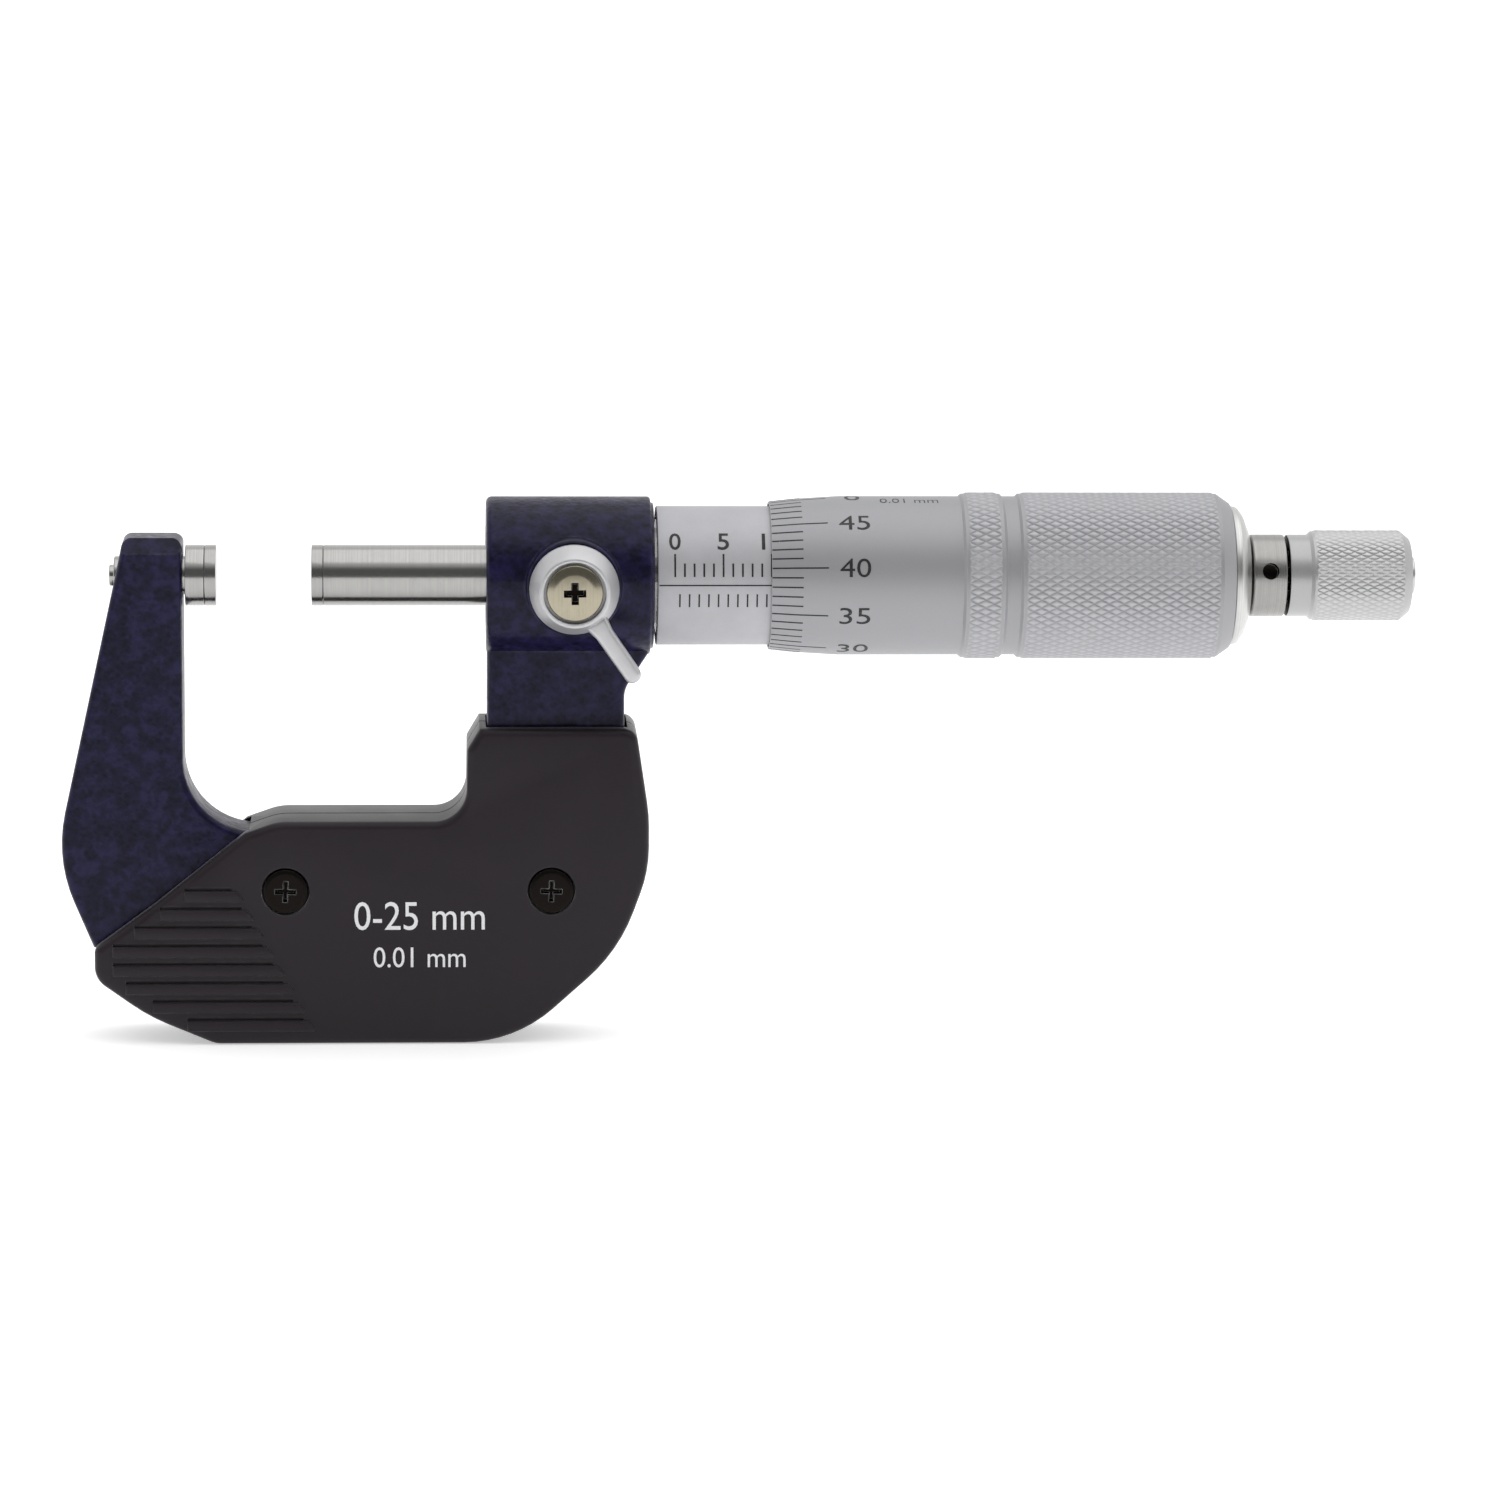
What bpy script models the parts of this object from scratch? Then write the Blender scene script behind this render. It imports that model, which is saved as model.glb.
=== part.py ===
"""Outside micrometer, 0 to 25 mm, standing at a reading of 9.88 mm.

The origin is the centre of the anvil's measuring face. +X runs along the spindle towards
the thimble, +Z is up, and the scale and the lock lever face -Y. Units are metres.
"""

import math

import bmesh
import bpy
from mathutils import Matrix

MM = 0.001

# --- driving dimensions -----------------------------------------------------------------
GAP = 0.3 * MM  # between two pieces that touch or slide
READING = 9.88 * MM  # distance between the measuring faces
FINE = 36  # sides of a round piece that shows
COARSE = 18  # sides of a small or hidden round piece

# measuring faces, anvil and spindle
SPINDLE_R = 3.175 * MM
TIP_LENGTH = 1.2 * MM
ANVIL_COLLAR = 2.0 * MM  # the anvil's full diameter stands this far out of the arm
ANVIL_SHANK_R = 2.0 * MM
ANVIL_TAIL_R = 1.1 * MM
ANVIL_TAIL = 0.5 * MM
NECK_R = SPINDLE_R - 0.275 * MM
THREAD_R = SPINDLE_R + 0.425 * MM
PLAIN_LENGTH = 46.0 * MM  # ground part of the spindle behind its tip
NECK_LENGTH = 4.6 * MM
SEAT_LENGTH = 6.0 * MM  # cone that the thimble sits on
SEAT_END_R = THREAD_R - 0.6 * MM

# frame
WEB_THICKNESS = 7.0 * MM
RIM = 0.7 * MM  # rounding of the frame's rims
ARM_TOP_Z = 4.2 * MM
ARM_WIDTH = 6.05 * MM  # across the left arm at its top
ARM_CHAMFER = 1.5 * MM
ANVIL_STICKOUT = TIP_LENGTH + GAP + ANVIL_COLLAR
ARM_INNER_X = -ANVIL_STICKOUT
THROAT_WIDTH = 31.5 * MM
THROAT_DEPTH = 26.6 * MM
BOW_WIDTH = 20.7 * MM  # the frame below the throat
FRAME_DEPTH = THROAT_DEPTH + BOW_WIDTH
BACK_BULGE = 7.35 * MM  # the left edge's corner stands this far outside the arm's top
LEDGE_OFFSET = 3.4 * MM  # the ledge under the shields' left corner, outside the arm's top

# stem, sleeve and nut
STEM_WALL = 1.525 * MM
STEM_R = SPINDLE_R + GAP + STEM_WALL
SEAT_STEP = 0.9 * MM
SEAT_R = STEM_R + SEAT_STEP  # the stem where the sleeve sits on it
SLEEVE_WALL = 1.05 * MM
SLEEVE_R = SEAT_R + GAP + SLEEVE_WALL
SLEEVE_LENGTH = 30.8 * MM
ZERO_FROM_SLEEVE = 1.9 * MM  # zero mark, from the sleeve's left end
SPANNER_HOLE_R = 0.75 * MM
STEM_GUIDE = 23.0 * MM  # length of the stem's plain guide bore
STEM_CHAMBER_R = THREAD_R + 2 * GAP
STEM_THREAD_R = THREAD_R + GAP
STEM_THREAD = 12.5 * MM
STEM_TAIL = 10.0 * MM  # the stem's length behind the sleeve
NUT_LENGTH = 5.0 * MM
THIMBLE_CLEARANCE = 0.25 * MM  # between sleeve and thimble
THIMBLE_BORE_R = SLEEVE_R + THIMBLE_CLEARANCE
NUT_R = THIMBLE_BORE_R - 0.4 * MM

# lug and lock boss
LUG_WALL = 2.95 * MM
LUG_R = STEM_R + GAP + LUG_WALL
LUG_LENGTH = 17.1 * MM
WEB_WIDTH = LUG_LENGTH - 2.7 * MM  # the web below the lug
RIGHT_WIDTH = WEB_WIDTH + 1.0 * MM  # the frame's right side, from throat to outer edge
SHOULDER_R = SLEEVE_R + 0.35 * MM
SHOULDER = 0.3 * MM
LOCK_FROM_LUG = 9.0 * MM  # lock axis, from the lug's left face
BOSS_R = 5.0 * MM
BOSS_HEIGHT = LUG_R + 1.15 * MM  # boss face, from the spindle's axis

# thimble
THIMBLE_EDGE_R = THIMBLE_BORE_R + 0.22 * MM
THIMBLE_WALL = 0.8 * MM
THIMBLE_R = THIMBLE_BORE_R + THIMBLE_WALL
BEVEL_LENGTH = 7.2 * MM  # the part with the divisions
BAND_FROM_EDGE = 19.85 * MM
BAND_LENGTH = 4.6 * MM
BAND_R = THIMBLE_R + 0.45 * MM
GROOVE_LENGTH = 1.35 * MM
KNURL_LENGTH = 21.1 * MM
KNURL_R = THIMBLE_R + 0.4 * MM
THIMBLE_CHAMFER = 1.4 * MM
THIMBLE_END_R = KNURL_R - 1.1 * MM
THIMBLE_FLOOR = 5.6 * MM  # thickness of the thimble's rear wall

# end cap and ratchet
CAP_R = THIMBLE_END_R - 0.3 * MM
CAP_LENGTH = 1.6 * MM
STUD_R = 1.6 * MM
STUD_LENGTH = 8.4 * MM
DISC_R = 4.3 * MM
KNOB_R = DISC_R + 0.45 * MM
DISC_LENGTH = 3.6 * MM
TOMMY_HOLE_R = 0.87 * MM
TOMMY_HOLE_DEPTH = 1.5 * MM
TOMMY_HOLE_ANGLE = math.radians(14.0)
SPIGOT_LENGTH = 11.1 * MM
TAPPED_R = 1.3 * MM
SPIGOT_R = TAPPED_R + 0.7 * MM
TEETH = 12
TOOTH_HEIGHT = 0.4 * MM
TEETH_R = SPIGOT_R + GAP + 0.7 * MM
KNOB_GAP = 0.5 * MM
KNOB_COLLAR = 2.0 * MM
KNOB_LENGTH = 12.7 * MM
KNOB_CHAMFER = 0.9 * MM
KNOB_CAVITY_R = TEETH_R + GAP
KNOB_CAVITY = 7.2 * MM
CLUTCH_LENGTH = 2.2 * MM
SPRING_WIRE_R = 0.2 * MM
SPRING_TURNS = 4
END_SCREW_R = 2.0 * MM
END_SCREW_FLANGE_R = SPIGOT_R + 0.7 * MM
END_SCREW_STICKOUT = 0.6 * MM

# lock
LEVER_HEAD_R = 2.95 * MM
LEVER_R = LEVER_HEAD_R + 1.68 * MM
LEVER_TOP_R = LEVER_HEAD_R + 0.55 * MM
LEVER_HEIGHT = 3.3 * MM
LEVER_REACH = 11.4 * MM
LEVER_WIDTH = 1.9 * MM
LEVER_TIP_WIDTH = 1.75 * MM
LEVER_ANGLE = math.radians(-55.5)
BOLT_R = 1.9 * MM
BOLT_HEAD_R = BOLT_R + 0.2 * MM
BOLT_HEAD = 1.2 * MM
SHOE_R = 1.5 * MM
SHOE_CLEARANCE = 0.4 * MM

# heat shields
SHIELD_PLATE = 1.7 * MM  # over the frame's faces
SHIELD_WRAP = 1.6 * MM  # round the frame's edges, with the gap
SHIELD_RIM = 0.8 * MM
SHIELD_TOP_FROM_AXIS = LUG_R + 7.15 * MM
SHIELD_STEP = 0.3 * MM  # between the two halves
LEDGE_DEPTH = THROAT_DEPTH + 12.3 * MM  # where the frame's edge steps in under the shields
LEDGE_WIDTH = 1.7 * MM
RIB_COUNT = 8
RIB_DEPTH = THROAT_DEPTH + 6.4 * MM  # highest rib, below the spindle's axis
RIB_PITCH = 1.97 * MM
RIB_INSET = 1.9 * MM  # from the cover's edge
RIB_FIELD = 5.6 * MM  # highest rib's right end, from the arm's inner face
RIB_SLANT = 1.06 * MM  # each rib runs this much further right than the one above
RIB_WIDTH = 0.9 * MM
RIB_HEIGHT = 0.3 * MM
SCREW_HEAD_R = 2.35 * MM
SCREW_HEAD = 1.0 * MM
SCREW_PROUD = 0.1 * MM
SCREW_R = 0.95 * MM
SCREW_DEPTH = THROAT_DEPTH + 5.9 * MM  # below the spindle's axis
SCREW_INSET = 10.6 * MM  # left screw, from the arm's inner face
SCREW_SPACING = THROAT_WIDTH - 3.8 * MM

# --- derived places along the spindle ---------------------------------------------------
LUG_X = ARM_INNER_X + THROAT_WIDTH
LUG_END_X = LUG_X + LUG_LENGTH
SLEEVE_X = LUG_END_X + SHOULDER + GAP
SLEEVE_END_X = SLEEVE_X + SLEEVE_LENGTH
STEM_X = LUG_X + 0.5 * MM
STEM_END_X = SLEEVE_END_X + STEM_TAIL
EDGE_X = SLEEVE_X + ZERO_FROM_SLEEVE + READING
THIMBLE_END_X = (EDGE_X + BAND_FROM_EDGE + BAND_LENGTH + GROOVE_LENGTH
                 + KNURL_LENGTH + THIMBLE_CHAMFER)
FLOOR_X = THIMBLE_END_X - THIMBLE_FLOOR
CAP_X = THIMBLE_END_X + GAP
DISC_X = CAP_X + CAP_LENGTH + GAP
DISC_END_X = DISC_X + DISC_LENGTH
KNOB_X = DISC_END_X + KNOB_GAP
KNOB_END_X = KNOB_X + KNOB_LENGTH
SPIGOT_END_X = DISC_END_X + SPIGOT_LENGTH
SPINDLE_X = READING + TIP_LENGTH + GAP
SPINDLE_END_X = THIMBLE_END_X - 2.3 * MM
SEAT_X = SPINDLE_END_X - SEAT_LENGTH
LOCK_X = LUG_X + LOCK_FROM_LUG
LOCK_HOLE_R = BOLT_R + GAP
SHOE_H = SPINDLE_R + SHOE_CLEARANCE
BOLT_H = STEM_R + 0.6 * MM
LEVER_H = BOSS_HEIGHT + GAP
BOLT_TOP_H = LEVER_H + BOLT_HEAD
SEAT_H = BOLT_TOP_H + 1.0 * MM  # the lever's floor under the screw's head
SHIELD_Y = WEB_THICKNESS / 2 + GAP + SHIELD_PLATE
LEFT_SCREW_X = ARM_INNER_X + SCREW_INSET

ALONG_X = Matrix.Rotation(math.pi / 2, 4, "Y")  # local Z becomes +X
TO_FRONT = Matrix.Rotation(math.pi / 2, 4, "X")  # local Z becomes -Y, local Y becomes +Z
RECESS_TURN = Matrix.Rotation(math.radians(9.0), 4, "Z")  # how far a screw's cross is turned


# --- scene and materials ----------------------------------------------------------------
def clear_scene():
    for obj in list(bpy.data.objects):
        bpy.data.objects.remove(obj, do_unlink=True)


def new_collection(name):
    collection = bpy.data.collections.new(name)
    bpy.context.scene.collection.children.link(collection)
    return collection


def material(name, color, roughness, metallic):
    made = bpy.data.materials.new(name)
    made.use_nodes = True
    shader = made.node_tree.nodes["Principled BSDF"]
    shader.inputs["Base Color"].default_value = (*color, 1.0)
    shader.inputs["Roughness"].default_value = roughness
    shader.inputs["Metallic"].default_value = metallic
    made.diffuse_color = (*color, 1.0)
    return made


def finish_object(obj, collection, made, smooth_angle=35.0):
    collection.objects.link(obj)
    if made is None:
        obj.hide_render = True
        obj.display_type = "WIRE"
        return obj
    obj.data.materials.append(made)
    obj.data.shade_smooth()
    obj.data.set_sharp_from_angle(angle=math.radians(smooth_angle))
    return obj


# --- shape helpers ----------------------------------------------------------------------
def turned_mesh(name, profile):
    """Outline of (radius, height) points: up the outer side, then back down any bore."""
    mesh = bpy.data.meshes.new(name)
    bm = bmesh.new()
    verts = [bm.verts.new((radius, 0.0, height)) for radius, height in reversed(profile)]
    for first, second in zip(verts, verts[1:]):
        bm.edges.new((first, second))
    if profile[0][0] > 0.0:
        bm.edges.new((verts[-1], verts[0]))
    bm.to_mesh(mesh)
    bm.free()
    return mesh


def turned(name, profile, steps, collection, made, place=ALONG_X):
    """A turned piece: the outline spun about the object's own Z by a Screw modifier."""
    obj = bpy.data.objects.new(name, turned_mesh(name, profile))
    obj.matrix_world = place
    screw = obj.modifiers.new("Turn", "SCREW")
    screw.axis = "Z"
    screw.steps = steps
    screw.render_steps = steps
    screw.use_merge_vertices = True
    screw.merge_threshold = 0.00001
    screw.use_smooth_shade = True
    return finish_object(obj, collection, made)


def rod(name, radius, low, high, collection, place, steps=COARSE):
    """A plain round cutter."""
    profile = [(0.0, low), (radius, low), (radius, high), (0.0, high)]
    return turned(name, profile, steps, collection, None, place)


def evaluated_mesh(obj):
    depsgraph = bpy.context.evaluated_depsgraph_get()
    return bpy.data.meshes.new_from_object(obj.evaluated_get(depsgraph))


def rounded(corners, step=math.radians(13.0)):
    """Outline through (x, z, radius) corners, each rounded by a tangent arc."""
    points = []
    count = len(corners)
    for index, (x, z, radius) in enumerate(corners):
        before = corners[index - 1]
        after = corners[(index + 1) % count]
        back = (before[0] - x, before[1] - z)
        ahead = (after[0] - x, after[1] - z)
        back_length = math.hypot(*back)
        ahead_length = math.hypot(*ahead)
        back = (back[0] / back_length, back[1] / back_length)
        ahead = (ahead[0] / ahead_length, ahead[1] / ahead_length)
        half = math.acos(max(-1.0, min(1.0, back[0] * ahead[0] + back[1] * ahead[1]))) / 2
        reach = min(radius / math.tan(half), 0.49 * back_length, 0.49 * ahead_length)
        if reach <= 0.0:
            points.append((x, z))
            continue
        radius = reach * math.tan(half)
        middle = (back[0] + ahead[0], back[1] + ahead[1])
        length = math.hypot(*middle)
        to_centre = radius / math.sin(half)
        centre = (x + middle[0] / length * to_centre, z + middle[1] / length * to_centre)
        start = (x + back[0] * reach - centre[0], z + back[1] * reach - centre[1])
        turn = math.pi - 2 * half
        if back[0] * ahead[1] - back[1] * ahead[0] > 0.0:
            turn = -turn
        parts = max(2, round(abs(turn) / step))
        for part in range(parts + 1):
            angle = turn * part / parts
            points.append((centre[0] + start[0] * math.cos(angle) - start[1] * math.sin(angle),
                           centre[1] + start[0] * math.sin(angle) + start[1] * math.cos(angle)))
    return points


def grown(points, amount):
    """The outline moved outwards by amount, for one that runs anticlockwise."""
    moved = []
    count = len(points)
    for index, (x, z) in enumerate(points):
        before = points[index - 1]
        after = points[(index + 1) % count]
        first = (z - before[1], before[0] - x)
        second = (after[1] - z, x - after[0])
        first_length = math.hypot(*first)
        second_length = math.hypot(*second)
        normal = (first[0] / first_length + second[0] / second_length,
                  first[1] / first_length + second[1] / second_length)
        square = normal[0] ** 2 + normal[1] ** 2
        moved.append((x + normal[0] * 2 * amount / square, z + normal[1] * 2 * amount / square))
    return moved


def plate_mesh(name, points, low, high):
    """A flat outline, filled between two distances in front of the spindle's axis."""
    curve = bpy.data.curves.new(name, "CURVE")
    curve.dimensions = "2D"
    curve.fill_mode = "BOTH"
    curve.extrude = (high - low) / 2
    spline = curve.splines.new("POLY")
    spline.points.add(len(points) - 1)
    for target, (x, z) in zip(spline.points, points):
        target.co = (x, z, 0.0, 1.0)
    spline.use_cyclic_u = True
    flat = bpy.data.objects.new(name, curve)
    bpy.context.scene.collection.objects.link(flat)
    mesh = evaluated_mesh(flat)
    bpy.data.objects.remove(flat, do_unlink=True)
    bpy.data.curves.remove(curve)
    bm = bmesh.new()
    bm.from_mesh(mesh)
    bmesh.ops.remove_doubles(bm, verts=bm.verts, dist=0.000001)
    bmesh.ops.translate(bm, verts=bm.verts, vec=(0.0, 0.0, (high + low) / 2))
    bmesh.ops.dissolve_limit(bm, angle_limit=math.radians(1.0), verts=bm.verts, edges=bm.edges)
    bmesh.ops.recalc_face_normals(bm, faces=bm.faces)
    bm.to_mesh(mesh)
    bm.free()
    mesh.materials.clear()
    mesh.name = name
    return mesh


def round_rims(mesh, heights, width, segments):
    """Round a plate's rims that lie at the given distances."""
    bm = bmesh.new()
    bm.from_mesh(mesh)
    rims = [edge for edge in bm.edges
            if len(edge.link_faces) == 2 and edge.calc_face_angle(0.0) > math.radians(60.0)
            and any(all(abs(vert.co.z - height) < 0.000001 for vert in edge.verts)
                    for height in heights)]
    bmesh.ops.bevel(bm, geom=rims, offset=width, offset_type="OFFSET", segments=segments,
                    profile=0.5, affect="EDGES", clamp_overlap=False)
    bm.to_mesh(mesh)
    bm.free()


def plate(name, points, low, high, collection, made=None, place=TO_FRONT):
    obj = bpy.data.objects.new(name, plate_mesh(name, points, low, high))
    obj.matrix_world = place
    return finish_object(obj, collection, made)


def box(name, centre, size, collection, turn=0.0):
    """A box cutter, turned about X."""
    mesh = bpy.data.meshes.new(name)
    bm = bmesh.new()
    bmesh.ops.create_cube(bm, size=1.0)
    bmesh.ops.scale(bm, vec=size, verts=bm.verts)
    bm.to_mesh(mesh)
    bm.free()
    obj = bpy.data.objects.new(name, mesh)
    obj.matrix_world = Matrix.Translation(centre) @ Matrix.Rotation(turn, 4, "X")
    return finish_object(obj, collection, None)


def combine(obj, other, operation):
    """A live Boolean with another object."""
    modifier = obj.modifiers.new(other.name, "BOOLEAN")
    modifier.operation = operation
    modifier.solver = "EXACT"
    modifier.object = other


def cut(obj, *cutters):
    for cutter in cutters:
        combine(obj, cutter, "DIFFERENCE")


def join(obj, *pieces):
    for piece in pieces:
        combine(obj, piece, "UNION")


def to_front(x, z=0.0):
    """Local Z points to the front from a point on the spindle's plane."""
    return Matrix.Translation((x, 0.0, z)) @ TO_FRONT


def to_back(x, z=0.0):
    return Matrix.Translation((x, 0.0, z)) @ Matrix.Rotation(-math.pi / 2, 4, "X")


def cross_outline(reach, width):
    """Outline of a cross recess."""
    half = width / 2
    quarter = [(reach, -half), (reach, half), (half, half)]
    points = []
    for turn in range(4):
        for x, y in quarter:
            for _ in range(turn):
                x, y = -y, x
            points.append((x, y))
    return points


# --- frame ------------------------------------------------------------------------------
def frame_outline():
    """Anticlockwise from the top of the left arm, seen from the front."""
    right = LUG_X
    outer = ARM_INNER_X - ARM_WIDTH
    floor = -THROAT_DEPTH
    bottom = -FRAME_DEPTH
    side = right + RIGHT_WIDTH
    web = right + WEB_WIDTH
    ledge = outer - LEDGE_OFFSET
    return rounded([
        (ARM_INNER_X, ARM_TOP_Z, 1.0 * MM),
        (outer, ARM_TOP_Z, 1.0 * MM),
        (outer - 1.2 * MM, -1.4 * MM, 9.0 * MM),
        (outer - BACK_BULGE, floor - 2.9 * MM, 19.0 * MM),
        (ledge, -LEDGE_DEPTH, 0.0),
        (ledge + LEDGE_WIDTH, -LEDGE_DEPTH, 0.0),
        (ledge + LEDGE_WIDTH, bottom + 6.0 * MM, 3.0 * MM),
        (ledge + 7.7 * MM, bottom + 1.7 * MM, 14.0 * MM),
        (ledge + 14.0 * MM, bottom, 4.0 * MM),
        (side - 13.0 * MM, bottom, 12.5 * MM),
        (side - 2.8 * MM, bottom + 9.2 * MM, 16.0 * MM),
        (side, bottom + 17.0 * MM, 12.0 * MM),
        (side, bottom + 22.7 * MM, 18.0 * MM),
        (web, -SHIELD_TOP_FROM_AXIS, 20.0 * MM),
        (web, -LUG_R - 3.35 * MM, 3.0 * MM),
        (LUG_END_X - 0.1 * MM, -0.92 * LUG_R, 1.0 * MM),
        (LUG_END_X - 0.1 * MM, -STEM_R - 1.0 * MM, 0.0),
        (right + 0.1 * MM, -STEM_R - 1.0 * MM, 0.0),
        (right + 0.1 * MM, floor, 5.0 * MM),
        (ARM_INNER_X, floor, 7.6 * MM),
    ])


def make_frame(parts, cutters, paint):
    half = WEB_THICKNESS / 2
    frame = plate("frame", frame_outline(), -half, half, parts, paint)
    round_rims(frame.data, (-half, half), RIM, 2)
    for side in (-1, 1):
        reach = half - ARM_CHAMFER / 2
        size = 6.0 * MM
        centre = (ARM_INNER_X - ARM_WIDTH / 2,
                  side * (reach + size / 2 / math.sqrt(2)),
                  ARM_TOP_Z - ARM_CHAMFER / 2 + size / 2 / math.sqrt(2))
        cut(frame, box(f"arm_chamfer_{side + 1}", centre, (3 * ARM_WIDTH, size, size), cutters,
                       side * math.pi / 4))
    for index in range(2):
        x = LEFT_SCREW_X + index * SCREW_SPACING
        cut(frame, rod(f"tapped_hole_{index}", SCREW_R + GAP, -WEB_THICKNESS, WEB_THICKNESS,
                       cutters, to_front(x, -SCREW_DEPTH)))
    edge = 0.6 * MM
    lug = turned("lug_form", [
        (0.0, LUG_X), (LUG_R - edge, LUG_X), (LUG_R, LUG_X + edge),
        (LUG_R, LUG_END_X - edge), (LUG_R - edge, LUG_END_X), (SHOULDER_R, LUG_END_X),
        (SHOULDER_R, LUG_END_X + SHOULDER), (0.0, LUG_END_X + SHOULDER)],
        FINE, cutters, None)
    boss = turned("boss_form", [
        (0.0, half), (BOSS_R, half), (BOSS_R, BOSS_HEIGHT - edge),
        (BOSS_R - edge, BOSS_HEIGHT), (0.0, BOSS_HEIGHT)],
        FINE, cutters, None, to_front(LOCK_X))
    join(frame, lug, boss)
    outside = 5.0 * MM
    cut(frame,
        rod("anvil_hole", ANVIL_SHANK_R + GAP, ARM_INNER_X - ARM_WIDTH - outside,
            ARM_INNER_X + outside, cutters, ALONG_X),
        rod("stem_hole", STEM_R + GAP, LUG_X - outside, LUG_END_X + outside, cutters, ALONG_X, FINE),
        rod("lock_hole", LOCK_HOLE_R, STEM_R - 1.0 * MM, BOSS_HEIGHT + outside, cutters,
            to_front(LOCK_X)))
    return frame


# --- heat shields -----------------------------------------------------------------------
def shield_outline():
    """Anticlockwise from the top of the right side, following the frame's own places."""
    top = -SHIELD_TOP_FROM_AXIS
    floor = -THROAT_DEPTH + 1.42 * MM
    left = ARM_INNER_X - ARM_WIDTH - LEDGE_OFFSET + 0.15 * MM
    inner = LUG_X - 2.1 * MM
    bottom = -FRAME_DEPTH - 1.5 * MM
    side = LUG_X + RIGHT_WIDTH + SHIELD_WRAP
    return rounded([
        (inner + 1.4 * MM, top, 0.0),
        (inner + 0.1 * MM, top - 2.2 * MM, 1.2 * MM),
        (inner, floor, 3.4 * MM),
        (ARM_INNER_X + 9.8 * MM, floor, 6.0 * MM),
        (ARM_INNER_X + 6.4 * MM, floor - 1.2 * MM, 0.0),
        (ARM_INNER_X - 3.0 * MM, floor - 8.8 * MM, 20.0 * MM),
        (left, -LEDGE_DEPTH + 0.3 * MM, 1.0 * MM),
        (left, bottom + 6.9 * MM, 2.5 * MM),
        (left + 5.6 * MM, bottom + 2.9 * MM, 20.0 * MM),
        (left + 12.5 * MM, bottom, 3.0 * MM),
        (side - 14.0 * MM, bottom, 14.0 * MM),
        (side - 3.1 * MM, bottom + 9.75 * MM, 18.0 * MM),
        (side, bottom + 18.3 * MM, 14.0 * MM),
        (side, bottom + 24.2 * MM, 18.0 * MM),
        (side - 1.4 * MM, top, 1.5 * MM),
    ])


def rib_ends(z, index):
    """A rib starts inside the cover's left edge and stops on a slanted line."""
    inside = grown(shield_outline(), -RIB_INSET)
    crossings = []
    for index_before, (x, height) in enumerate(inside):
        x_before, height_before = inside[index_before - 1]
        if (height_before - z) * (height - z) < 0.0:
            share = (z - height_before) / (height - height_before)
            crossings.append(x_before + share * (x - x_before))
    return min(crossings), ARM_INNER_X + RIB_FIELD + RIB_SLANT * index


def make_shield(name, facing, parts, cutters, plastic):
    """One half shell: a plate with the cover's outline, hollowed by the frame's own shape."""
    place = to_front(0.0) if facing == "front" else Matrix.Scale(-1, 4, (0, 1, 0)) @ TO_FRONT
    mesh = plate_mesh(name, shield_outline(), SHIELD_STEP / 2, SHIELD_Y)
    round_rims(mesh, (SHIELD_Y,), SHIELD_RIM, 2)
    mesh.transform(place)
    if facing == "rear":
        mesh.flip_normals()
    shield = finish_object(bpy.data.objects.new(name, mesh), parts, plastic)
    back = 1 if facing == "front" else -1
    half = WEB_THICKNESS / 2 + GAP
    for index in range(RIB_COUNT):
        z = -RIB_DEPTH - RIB_PITCH * index
        low, high = rib_ends(z, index)
        centre = ((low + high) / 2, -back * (SHIELD_Y - 0.2 * MM + RIB_HEIGHT / 2), z)
        join(shield, box(f"{name}_rib_{index}", centre,
                         (high - low, RIB_HEIGHT + 0.4 * MM, RIB_WIDTH), cutters))
    core = plate(f"{name}_core", grown(frame_outline(), GAP), -half, half, cutters)
    cut(shield, core)
    facing_place = to_front if facing == "front" else to_back
    for index in range(2):
        x = LEFT_SCREW_X + index * SCREW_SPACING
        counterbore = SHIELD_Y + SCREW_PROUD - SCREW_HEAD - GAP
        cut(shield, turned(f"{name}_screw_hole_{index}", [
            (0.0, 0.0), (SCREW_R + GAP, 0.0), (SCREW_R + GAP, counterbore),
            (SCREW_HEAD_R + GAP, counterbore), (SCREW_HEAD_R + GAP, SHIELD_Y + 1.0 * MM),
            (0.0, SHIELD_Y + 1.0 * MM)], COARSE, cutters, None, facing_place(x, -SCREW_DEPTH)))
    return shield


def make_shield_screws(parts, cutters, black):
    top = SHIELD_Y + SCREW_PROUD
    under = top - SCREW_HEAD
    profile = [(0.0, 0.8 * MM), (SCREW_R, 0.8 * MM), (SCREW_R, under), (SCREW_HEAD_R, under),
               (SCREW_HEAD_R, top - 0.25 * MM), (SCREW_HEAD_R - 0.35 * MM, top), (0.0, top)]
    for facing, place in (("front", to_front), ("rear", to_back)):
        for index, side in enumerate(("left", "right")):
            x = LEFT_SCREW_X + index * SCREW_SPACING
            name = f"{facing}_shield_screw_{side}"
            screw = turned(name, profile, COARSE, parts, black, place(x, -SCREW_DEPTH))
            recess = plate(f"{name}_recess", cross_outline(1.2 * MM, 0.5 * MM),
                           top - 0.5 * MM, top + 0.5 * MM, cutters, None,
                           place(x, -SCREW_DEPTH) @ RECESS_TURN)
            cut(screw, recess)


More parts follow.
